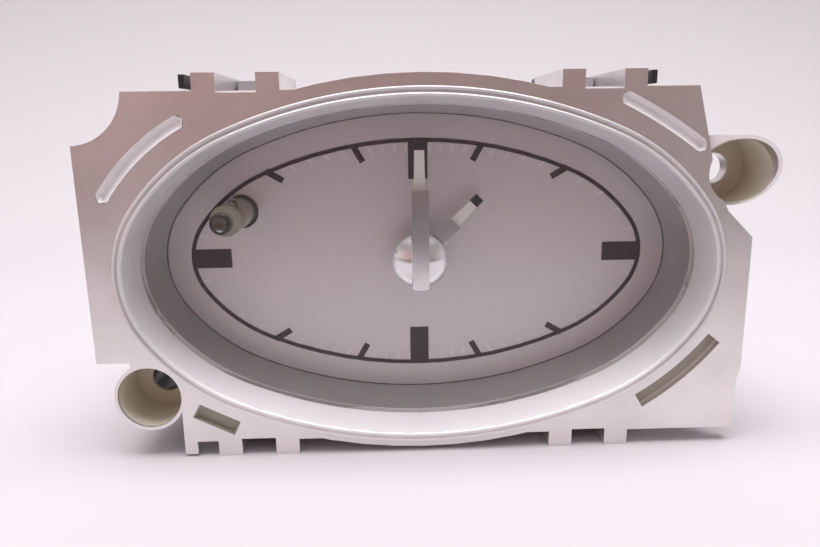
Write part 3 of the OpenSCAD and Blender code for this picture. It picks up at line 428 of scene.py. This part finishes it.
def disc(place, centre, radius, soft_edge=0.1):
    """1 within the radius round a point of the face, at any depth, in millimetres."""
    flatten = place.id_data.nodes.new("ShaderNodeVectorMath")
    flatten.operation = "MULTIPLY"
    flatten.inputs[1].default_value = (1, 0, 1)
    apart = place.id_data.nodes.new("ShaderNodeVectorMath")
    apart.operation = "DISTANCE"
    apart.inputs[1].default_value = (centre[0] * MM, 0, centre[1] * MM)
    feed(place, flatten.inputs[0])
    feed(flatten.outputs[0], apart.inputs[0])
    return between(apart.outputs["Value"], radius + soft_edge, radius)


bezel_shape = bmesh.new()
bezel_shape.from_mesh(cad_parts["front_bezel"].data)
bmesh.ops.remove_doubles(bezel_shape, verts=bezel_shape.verts, dist=corner_gap)
bezel = solid_from("front_bezel_painted", bezel_shape, "case_body",
                   ("front_bezel",))
# The sleeves have thin rims. Behind the left one stands a long boss with its screw hole.
bore_line = [(0, sleeve_front_y), (sleeve_r, sleeve_front_y), (sleeve_r, sleeve_floor_y - 0.01),
             (0, sleeve_floor_y - 0.01)]
for sleeve in (left_sleeve, right_sleeve):
    merge(bezel, shape_from("bore", lathe(bore_line, *sleeve)), "DIFFERENCE")
boss_line = [(0, left_boss_front), (left_boss_r, left_boss_front), (left_boss_r, left_boss_back),
             (0, left_boss_back)]
merge(bezel, shape_from("boss", lathe(boss_line, *left_sleeve)))
hole_line = [(0, hole_front), (screw_hole_r, hole_front), (screw_hole_r, hole_back), (0, hole_back)]
merge(bezel, shape_from("hole", lathe(hole_line, *left_sleeve)), "DIFFERENCE")
moulded(bezel, bezel_fillet)
silver_paint, shader = new_finish("silver paint", 0.33)
place = add_grain(shader, 0.28, 0.005, 4)
silver = add_colour_drift(shader, place, 9, (0.82, 0.79, 0.785), (0.74, 0.7, 0.695))
# The paint is thin on the walls of the sleeves, so olive shows through. The shaded inner side of
# the lower grooves is painted dark olive and the long hole behind the left sleeve near black, both
# as painted shade. All these places are less metallic.
depth = split_axes(place)["Y"]
behind_face = between(depth, *thin_paint_and_shade_from)
sleeves = any_of(disc(place, left_sleeve, sleeve_thin_r), disc(place, right_sleeve, sleeve_thin_r))
in_sleeves = all_of(sleeves, behind_face, between(depth, *sleeve_thin_to))
# Painted shade: dark olive on the shaded inner side of the lower grooves.
right_groove = all_of(disc(place, *right_groove_circle), disc(place, *right_groove_area))
grooves = any_of(right_groove, disc(place, *left_groove_area))
lower_groove_shade = all_of(grooves, behind_face, between(depth, *groove_shade_to))
# Painted shade: near black deep in the long hole behind the left sleeve.
long_hole_shade = all_of(disc(place, left_sleeve, hole_shade_r), between(depth, *hole_shade_from))
coat = mix_colour(in_sleeves, silver, sleeve_olive)
coat = mix_colour(lower_groove_shade, coat, groove_painted_shade)
coat = mix_colour(long_hole_shade, coat, hole_painted_shade)
thin_paint_and_shade = any_of(in_sleeves, lower_groove_shade, long_hole_shade)
feed(combine("MULTIPLY_ADD", thin_paint_and_shade, -paint_shine, paint_shine), shader.inputs["Metallic"])
feed(coat, shader.inputs["Base Color"])
coat_with(bezel, silver_paint)

# Window mouth: the funnel that leads to the lens and the double bead round it, moulded in one
# with the bezel. This is its coat of silver paint, with painted light: grey at the top and sides
# and near white at the bottom. Small dark specks of painted shade lie along the edge that the lens
# lies against.
window_half_w, window_half_h = 43, 24.5
# The oval is eight arcs that meet without a kink: two ends, four shoulders and two sides.
shoulder_start, shoulder_end = math.radians(36), math.radians(67)
shoulder_share = 0.945
shoulder_r = shoulder_share * math.sqrt(window_half_w * window_half_h)
reach_x = window_half_w - shoulder_r * (math.cos(shoulder_start) - math.cos(shoulder_end))
reach_z = window_half_h + shoulder_r * (math.sin(shoulder_start) - math.sin(shoulder_end))
balance = ((1 - math.cos(shoulder_start)) * (1 - math.sin(shoulder_end))
           - math.cos(shoulder_end) * math.sin(shoulder_start))
end_r = (reach_x * (1 - math.sin(shoulder_end)) - math.cos(shoulder_end) * reach_z) / balance
side_r = ((1 - math.cos(shoulder_start)) * reach_z - math.sin(shoulder_start) * reach_x) / balance
end_x, side_z = window_half_w - end_r, window_half_h - side_r
shoulder_x = end_x + (end_r - shoulder_r) * math.cos(shoulder_start)
shoulder_z = (end_r - shoulder_r) * math.sin(shoulder_start)
outer_bead, inner_bead = (1.94, -0.2, 0.235), (0.97, -0.45, 0.285)
# Painted shade specks near the lens edge, and painted light towards the bottom of the mouth.
lip_speck_size = 0.8
lip_speck_share = (0.66, 0.7)
lip_shade_from = (4.75, 5.2)
bottom_light_from = (-8, -21)


def oval_line(outside, steps=14):
    """Points of the window's oval, in millimetres, at a distance outside the lens lip."""
    quarter = []
    for x, z, r, a, b in ((end_x, 0, end_r, 0, shoulder_start),
                          (shoulder_x, shoulder_z, shoulder_r, shoulder_start, shoulder_end),
                          (0, side_z, side_r, shoulder_end, math.pi / 2)):
        for k in range(steps):
            turn = a + (b - a) * k / steps
            quarter.append((x + (r + outside) * math.cos(turn), z + (r + outside) * math.sin(turn)))
    quarter.append((0, window_half_h + outside))
    upper = quarter + [(-x, z) for x, z in quarter[-2::-1]]
    return upper + [(x, -z) for x, z in upper[-2:0:-1]]


def bead_line(s, y, r):
    """Half round of one bead, from outside the window to inside."""
    return [(s + r * math.cos(math.radians(a)), y + r * math.sin(math.radians(a)))
            for a in range(0, -181, -15)]


def loft(sections, closed=False):
    """Skin over a row of sections. A closed one runs on from the last section to the first."""
    shell = bmesh.new()
    rings = [[shell.verts.new(point) for point in section] for section in sections]
    for near, far in zip(rings, rings[1:] + rings[:1] if closed else rings[1:]):
        for k in range(len(near)):
            j = (k + 1) % len(near)
            shell.faces.new((near[k], near[j], far[j], far[k]))
    if not closed:
        shell.faces.new(rings[0])
        shell.faces.new(rings[-1][::-1])
    return shell


def oval_tube(line, steps=14):
    """Closed skin round the window from (distance outside the lip, depth) points."""
    return loft([[(x * MM, y * MM, z * MM) for x, z in oval_line(s, steps)] for s, y in line], True)


mouth_line = [(2.2, 0.3), (2.18, 0.02)] + bead_line(*outer_bead)
mouth_line += [(1.69, -0.09), (1.62, -0.075), (1.34, -0.075), (1.27, -0.12)]
mouth_line += bead_line(*inner_bead) + [(0.645, -0.35), (0.6, -0.1), (-0.01, 5.0)]
mouth_line += [(-0.05, 5.18), (-0.05, 5.28), (0.3, 5.285), (0.7, 4.2), (0.9, 0.6)]
mouth = solid_from("window_mouth_paint", oval_tube(mouth_line, 30), "case_body", (),
                   math.radians(40))
mouth_paint, shader = new_finish("mouth silver paint with painted light and shade", 0.38, 0.25)
place = add_grain(shader, 0.28, 0.005, 4)
silver = add_colour_drift(shader, place, 9, (0.74, 0.72, 0.73), (0.68, 0.66, 0.67))
axes = split_axes(place)
# Painted shade: dark specks near the lens edge. Painted light: the bottom is made near white.
lip_shade_specks = all_of(ease(add_noise(place, lip_speck_size, 3), *lip_speck_share), between(axes["Y"], *lip_shade_from))
bottom_painted_light = between(axes["Z"], *bottom_light_from)
coat = mix_colour(bottom_painted_light, silver, (0.96, 0.945, 0.955))
feed(mix_colour(lip_shade_specks, coat, (0.08, 0.06, 0.06)), shader.inputs["Base Color"])
coat_with(mouth, mouth_paint)

# Upper corner grooves: each has a sloped lower flank inside its straight walls, as the mould's
# cutter left it. Their paint is made near white, a painted highlight that makes the flank shine.
groove_half = 0.93
groove_bottom = 1.16
groove_back = 0.06
groove_steps = 24
groove_end_room = 0.07
nose_sharpness = 12.5
nose_depth = 0.1
flank = ((-groove_half, 0.03), (-0.05, 0.92), (0.15, 1.08), (0.35, groove_bottom), (0.55, 1.08),
         (0.68, 0.9), (groove_half, 0.03))


def plain_finish(name, roughness, grain, drift, metallic=0.0, sockets=None):
    """Finish with grain (size, depth, detail) and colour drift (size, light, dark, spread)."""
    finish, shader = new_finish(name, roughness, metallic, sockets)
    add_colour_drift(shader, add_grain(shader, *grain), *drift)
    return finish


# Painted highlight: a near white copy of the silver paint for the groove bottoms.
groove_painted_highlight = plain_finish("silver paint with painted highlight", 0.33, (0.28, 0.004, 4),
                            (6, (0.97, 0.955, 0.97), (0.9, 0.885, 0.9)), 0.25)
for name, centre_x, centre_z, radius, start_deg, end_deg in (
        ("groove_bottom_upper_left", -18.8, -6.2, 32.2, 118.4, 145.7),
        ("groove_bottom_upper_right", -2.5, -40, 72, 53.7, 63.9)):
    sections = []
    reach = math.degrees((groove_half + groove_end_room) / radius)
    for step in range(groove_steps + 1):
        part = step / groove_steps
        turn = math.radians(start_deg - reach + (end_deg - start_deg + 2 * reach) * part)
        nose = max(0.0, abs(2 * part - 1) * nose_sharpness - (nose_sharpness - 1))
        narrow = math.sqrt(max(0.0, 1 - nose ** 2))
        line = [(s * narrow, y * (nose_depth + (1 - nose_depth) * narrow)) for s, y in flank]
        line += [(groove_half * narrow, groove_bottom + groove_back),
                 (-groove_half * narrow, groove_bottom + groove_back)]
        sections.append([((centre_x + (radius + s) * math.cos(turn)) * MM, y * MM,
                          (centre_z + (radius + s) * math.sin(turn)) * MM) for s, y in line])
    channel = loft(sections)
    bmesh.ops.remove_doubles(channel, verts=channel.verts, dist=0.001 * MM)
    groove = solid_from(name, channel, "case_body", (), math.radians(50))
    coat_with(groove, groove_painted_highlight)

# Lens: a flat clear acrylic window cut to the oval, pressed against the lip from behind, with a
# hole for the setting stem. It is slightly hazy with age and dust.
clear_acrylic, shader = new_finish("clear acrylic", 0.04, 0.0,
                                   {"Base Color": (0.62, 0.6, 0.62, 1), "Alpha": 0.035})


def dress(names, finish, fillet=0):
    """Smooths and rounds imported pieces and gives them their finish."""
    for name in names:
        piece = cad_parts[name]
        moulded(piece, fillet)
        coat_with(piece, finish)


dress(["lens"], clear_acrylic)

# Inner surround: the oval grey wall between the lens and the dial, a thin moulding with a smooth
# half-gloss coat that mirrors the edge of the dial. Its front rim, in the lip's shade, is painted
# pale as painted light.
rim_painted_light_to = (6.75, 6.65)
surround_coat, shader = new_finish("grey surround coat", 0.2, 0.0, {"IOR": 1.6})
place = add_grain(shader, 0.6, 0.002, 2)
grey = add_colour_drift(shader, place, 14, (0.31, 0.28, 0.285), (0.27, 0.245, 0.25))
# Painted light: the shaded front rim is coloured pale.
rim_painted_light = between(split_axes(place)["Y"], *rim_painted_light_to)
feed(mix_colour(rim_painted_light, grey, (0.8, 0.75, 0.76)), shader.inputs["Base Color"])
dress(["inner_surround"], surround_coat)

# Dial: a thin metal plate with a fine silver print, matt and slightly sparkling. It has open
# holes for the arbor and the stem and lies on the light guide.
dial_print = plain_finish("silver dial print", 0.42, (0.12, 0.004, 2),
                          (0.3, (0.71, 0.675, 0.695), (0.62, 0.585, 0.605), (0.3, 0.75)), 0.5)
dress(["dial"], dial_print)

# Dial print, dark: the index ring, four wide bars and eight short marks, printed in a brownish
# black that shows a little of the silver below.
dark_print = plain_finish("dark dial print", 0.55, (0.15, 0.004, 2),
                          (0.4, (0.014, 0.004, 0.007), (0.034, 0.016, 0.022)))
dress(["dial_marks"], dark_print)

# Foot of the surround: the dark joint line where the surround meets the dial. It is the shadow in
# a hairline gap, drawn as a thin oval band on the dial.
dial_front = 14.4
joint_face = 14.36
joint_outer = -1.12
joint_inner = -1.34
joint_line = solid_from("surround_joint_line", oval_tube([
    (joint_outer, joint_face), (joint_inner, joint_face), (joint_inner, dial_front),
    (joint_outer, dial_front)]), "case_body")
coat_with(joint_line, plain_finish("shadowed joint", 0.7, (0.3, 0.004, 2),
                                   (2, (0.1, 0.075, 0.09), (0.16, 0.13, 0.14))))

# Dial print, white: a thin white tick for every minute between the hour marks, just inside the
# index ring. It is printed on the dial.
tick_width = 0.4 * MM
tick_length = 1.3 * MM
tick_thickness = 0.03 * MM
tick_face = dial_front * MM - tick_thickness
ring_inset = 5.5
ring_half_line = 0.33
ring_clearance = 0.25 * MM
ring_half_w = (window_half_w - ring_inset - ring_half_line) * MM
ring_half_h = (window_half_h - ring_inset - ring_half_line) * MM
ticks = bmesh.new()
for minute in range(60):
    if minute % 5 == 0:
        continue
    turn = math.radians(minute * 6)
    across = Vector((math.cos(turn), 0, math.sin(turn)))
    ring_reach = 1 / math.hypot(math.cos(turn) / ring_half_w, math.sin(turn) / ring_half_h)
    outer_end = across * (ring_reach - ring_clearance)
    inner_end = across * (ring_reach - ring_clearance - tick_length)
    side = Vector((-across.z, 0, across.x)) * tick_width / 2
    corners = [outer_end + side, outer_end - side, inner_end - side, inner_end + side]
    front = [ticks.verts.new(c + Vector((0, tick_face, 0))) for c in corners]
    back = [ticks.verts.new(c + Vector((0, tick_face + tick_thickness, 0))) for c in corners]
    ticks.faces.new(front)
    ticks.faces.new(back[::-1])
    for i in range(4):
        ticks.faces.new((front[i], front[(i + 1) % 4], back[(i + 1) % 4], back[i]))
minute_ticks = solid_from("minute_ticks", ticks, "case_body")
coat_with(minute_ticks, plain_finish("white dial print", 0.6, (0.15, 0.003, 2),
                                     (0.5, (0.8, 0.78, 0.8), (0.68, 0.66, 0.68))))

# Hour and minute needles: off-white moulded plastic blades with ends painted black, pushed onto
# the hour wheel's pipe and the cannon pinion.
needle_fillet, hour_turn = 0.06 * MM, math.radians(45)
off_white, end_black = (0.76, 0.745, 0.7), (0.012, 0.01, 0.014)
for name, along, black_from in (("minute_hand", (0, 0, 1), 17.5),
                                ("hour_hand", (math.sin(hour_turn), 0, math.cos(hour_turn)), 12.4)):
    needle_plastic, shader = new_finish(name.replace("_", " ") + " plastic", 0.45)
    place = add_grain(shader, 0.4, 0.004, 3)
    reach = shader.id_data.nodes.new("ShaderNodeVectorMath")
    reach.operation = "DOT_PRODUCT"
    reach.inputs[1].default_value = along
    feed(place, reach.inputs[0])
    dipped = combine("GREATER_THAN", reach.outputs["Value"], black_from * MM)
    feed(mix_colour(dipped, off_white, end_black), shader.inputs["Base Color"])
    dress([name], needle_plastic, needle_fillet)

# Minute hand cap: a bright satin-chromed plastic hub, a low dome with a flat raised bar across it
# that runs out along the needle. It is pressed over the end of the cannon pinion.
hub_r = 4.4
dome_rise = 1.7
cap_front = 6.95
cap_back = 9.2
dome_steps = 16
dome_r, dome_foot = (hub_r ** 2 + dome_rise ** 2) / (2 * dome_rise), cap_back - 0.3
socket_r, socket_floor = 1.8, 8.6
bar_half = 1.325
bar_reach = 11.4
bar_fillet = 0.22 * MM
bar_foot_rise = 0.35


def plate(outline, front, back):
    """Flat solid from an outline in X and Z, in millimetres."""
    shell = bmesh.new()
    near = [shell.verts.new((x * MM, front * MM, z * MM)) for x, z in outline]
    deep = [shell.verts.new((x * MM, back * MM, z * MM)) for x, z in outline]
    shell.faces.new(near)
    shell.faces.new(deep[::-1])
    for i in range(len(outline)):
        j = (i + 1) % len(outline)
        shell.faces.new((near[j], near[i], deep[i], deep[j]))
    return shell


dome_profile = [(0, socket_floor), (socket_r, socket_floor), (socket_r, cap_back),
                (hub_r - 0.05, cap_back), (hub_r, cap_back - 0.06)]
for step in range(dome_steps + 1):
    r = hub_r * (1 - step / dome_steps)
    dome_profile.append((r, dome_foot + dome_r - dome_rise - math.sqrt(dome_r ** 2 - r ** 2)))
cap = solid_from("minute_hand_cap_bright", lathe(dome_profile, 0, 0),
                 "minute_body", ("minute_hand_cap",))
bar_foot = [(bar_half * math.sin(math.radians(a)),
             -hub_r - 0.05 + bar_foot_rise * (1 - math.cos(math.radians(a))))
            for a in (-60, -30, 0, 30, 60)]
bar_outline = [(-bar_half, -hub_r + 0.25), *bar_foot, (bar_half, -hub_r + 0.25),
               (bar_half, bar_reach), (-bar_half, bar_reach)]
merge(cap, shape_from("bar", plate(bar_outline, cap_front, cap_back - 0.02), bar_fillet))
satin_chrome = plain_finish("satin chrome", 0.19, (0.5, 0.003, 3),
                            (5, (0.82, 0.81, 0.82), (0.74, 0.73, 0.74)), 0.95)
coat_with(cap, satin_chrome)

# Hour hand cap: the same bright plastic as a flat bar with a round foot under the hub, glued on
# the hour hand.
dress(["hour_hand_cap"], satin_chrome, 0.08 * MM)

# Setting stem: smoky clear plastic, pushed in and turned to set the hands. The tip has a rounded
# rim round a shallow dish, and the body behind it is thicker, with an olive tint in its depth.
stem_reach, stem_angle = 30.16, math.radians(165)
stem_x, stem_z = stem_reach * math.cos(stem_angle), stem_reach * math.sin(stem_angle)
tip_line = [(0, 0.28), (0.5, 0.22), (0.9, 0.05), (1.1, -0.18), (1.2, -0.27), (1.3, -0.3),
            (1.42, -0.28), (1.53, -0.2), (1.6, -0.05), (1.6, 0.5), (1.6, 2.12)]
body_line = [(1.66, 2.24), (2.22, 2.86), (2.32, 2.98), (2.35, 3.12), (2.35, 8), (2.35, 15.85),
             (2.3, 15.9)]
tail_line = [(1.2, 15.9), (1.2, 19.29), (0.9, 19.3), (0.9, 27.69), (0, 27.7)]
stem = solid_from("setting_stem_clear", lathe(tip_line + body_line + tail_line, stem_x, stem_z),
                  "stem_body", ("setting_stem",))
tint_from, tint_to = -0.3 * MM, 4.5 * MM
smoky_plastic, shader = new_finish("smoky clear plastic", 0.1, 0.0,
                                   {"IOR": 1.49, "Transmission Weight": 0.55})
nodes, links = shader.id_data.nodes, shader.id_data.links
place = nodes.new("ShaderNodeTexCoord")
span = nodes.new("ShaderNodeMapRange")
span.inputs["From Min"].default_value = tint_from
span.inputs["From Max"].default_value = tint_to
tint = nodes.new("ShaderNodeValToRGB")
tint.color_ramp.elements[0].color = (0.08, 0.064, 0.062, 1)
tint.color_ramp.elements[1].color = (0.46, 0.42, 0.3, 1)
tint.color_ramp.elements.new(0.5).color = (0.62, 0.57, 0.46, 1)
links.new(split_axes(place.outputs["Object"])["Y"], span.inputs["Value"])
links.new(span.outputs["Result"], tint.inputs["Fac"])
links.new(tint.outputs["Color"], shader.inputs["Base Color"])
coat_with(stem, smoky_plastic)

# Rear housing: black moulded plastic, held by hooked tongues between the edge ribs. Its front
# between the upper ribs is painted grey, a painted sheen that stands for light reflected there. The
# two lamp holders are of the same plastic.
housing_fillet, painted_sheen_grey = 0.15 * MM, (0.5, 0.475, 0.49)
sheen_inner, sheen_outer = (22.6, 22.9), (28.8, 28.5)
sheen_below, sheen_behind = (23, 24), (19.6, 19.2)
black_colour = (6, (0.018, 0.018, 0.02), (0.035, 0.034, 0.036))
black_plastic = plain_finish("black moulded plastic", 0.48, (0.35, 0.01, 4), black_colour)
black_plastic_with_sheen, shader = new_finish("black plastic with painted sheen", 0.42)
place = add_grain(shader, 0.35, 0.01, 4)
black = add_colour_drift(shader, place, *black_colour)
axes = split_axes(place)
outwards = combine("ABSOLUTE", axes["X"])
# Painted sheen: grey on the black front between the upper ribs.
painted_sheen = all_of(between(outwards, *sheen_inner), between(outwards, *sheen_outer),
                 between(axes["Z"], *sheen_below), between(axes["Y"], *sheen_behind))
feed(mix_colour(painted_sheen, black, painted_sheen_grey), shader.inputs["Base Color"])
dress(["rear_housing"], black_plastic_with_sheen, housing_fillet)
dress(["lamp_holder_left", "lamp_holder_right"], black_plastic, housing_fillet)

# Lamps: small wedge-base bulbs of clear glass, pushed into the holders, with their tips in the
# light guide.
lamp_glass = plain_finish("lamp glass", 0.03, (1.5, 0.01, 2),
                          (4, (0.9, 0.92, 0.92), (0.8, 0.83, 0.84)),
                          sockets={"Transmission Weight": 0.9})
dress(["lamp_left", "lamp_right"], lamp_glass)

# Light guide: a thick clear acrylic plate behind the dial that carries the lamps' light, with
# slightly frosted faces.
frosted_acrylic = plain_finish("frosted acrylic", 0.35, (0.3, 0.01, 3),
                               (6, (0.9, 0.92, 0.94), (0.82, 0.85, 0.88)),
                               sockets={"Transmission Weight": 0.35})
dress(["light_guide"], frosted_acrylic)

# Movement case and front plate: two halves of a white acetal box, screwed together, that hold the
# wheels in moulded bores.
white_acetal = plain_finish("white acetal", 0.4, (0.5, 0.008, 3),
                            (8, (0.8, 0.79, 0.75), (0.7, 0.69, 0.65)),
                            sockets={"Subsurface Weight": 0.05})
dress(["movement_front_plate", "movement_case"], white_acetal, 0.12 * MM)

# Wheels and pinions: small gears of ivory acetal with rounded teeth, left without a fillet
# because their teeth are finer than one.
ivory_acetal = plain_finish("ivory acetal", 0.36, (0.3, 0.004, 2),
                            (3, (0.78, 0.74, 0.64), (0.7, 0.66, 0.56)))
dress(["cannon_pinion", "hour_wheel", "minute_wheel", "setting_wheel", "setting_pinion",
       "centre_wheel", "third_wheel", "intermediate_wheel", "rotor_pinion"], ivory_acetal)

# Steel pieces: screws, arbor, magnet, stator and the crystal's can, plated or ground, with fine
# marks from making.
ground_steel = plain_finish("ground steel", 0.3, (0.2, 0.004, 5),
                            (2, (0.56, 0.57, 0.59), (0.45, 0.45, 0.47)), 1)
dress(["movement_screws", "centre_arbor", "rotor_magnet", "stator", "quartz_crystal"], ground_steel)

# Return spring: six turns of round steel wire, wound round the stem's tail between the brass ring
# and the floor of the movement case.
spring_turns = 6
turn_steps = 20
wire_sides = 10
wire_r = 0.16
spring_low, spring_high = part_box("stem_spring")
spring_room = spring_high[1] - spring_low[1]
coil_r = (spring_high[0] - spring_low[0]) / 2 - wire_r * MM
coil_steps = spring_turns * turn_steps
sections = []
for step in range(coil_steps + 1):
    turn = 2 * math.pi * step / turn_steps
    along = spring_low[1] + wire_r * MM + (spring_room - 2 * wire_r * MM) * step / coil_steps
    section = []
    for side in range(wire_sides):
        around = 2 * math.pi * side / wire_sides
        r = coil_r + wire_r * MM * math.cos(around)
        section.append((stem_x * MM + r * math.cos(turn), along + wire_r * MM * math.sin(around),
                        stem_z * MM + r * math.sin(turn)))
    sections.append(section)
spring = solid_from("stem_spring_wound", loft(sections), "case_body", ("stem_spring",),
                    math.radians(60))
coat_with(spring, ground_steel)
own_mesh(spring)

# Brass pieces: the friction washer, the spring's thrust ring and the four connector pins, which
# are pressed through the board.
brass = plain_finish("brass", 0.28, (0.2, 0.004, 4), (2, (0.78, 0.6, 0.3), (0.65, 0.48, 0.22)), 1)
dress(["clutch_spring", "stem_thrust_ring", "connector_pins"], brass)

# Coil: a moulded off-white bobbin on the stator's core, wound with enamelled copper wire whose
# fine turns lie side by side.
dress(["coil_bobbin"], white_acetal, 0.06 * MM)
copper_wire, shader = new_finish("enamelled copper wire", 0.3, 0.9)
nodes, links = shader.id_data.nodes, shader.id_data.links
place = nodes.new("ShaderNodeTexCoord").outputs["Object"]
turns = nodes.new("ShaderNodeTexWave")
turns.bands_direction = "X"
turns.inputs["Scale"].default_value = 2500
turns.inputs["Distortion"].default_value = 0.4
relief = nodes.new("ShaderNodeBump")
relief.inputs["Distance"].default_value = 0.03 * MM
links.new(place, turns.inputs["Vector"])
links.new(turns.outputs["Fac"], relief.inputs["Height"])
links.new(relief.outputs["Normal"], shader.inputs["Normal"])
add_colour_drift(shader, place, 1.5, (0.62, 0.24, 0.1), (0.5, 0.18, 0.07))
dress(["coil_winding"], copper_wire)

# Circuit board: green glass-fibre board on four posts of the movement case. It carries the driver
# chip, the quartz crystal, a capacitor and the pins.
green_board = plain_finish("green circuit board", 0.3, (0.4, 0.01, 2),
                           (2.5, (0.02, 0.13, 0.06), (0.05, 0.2, 0.1), (0.48, 0.52)))
dress(["circuit_board"], green_board)
dress(["driver_chip", "capacitor"], black_plastic, 0.08 * MM)
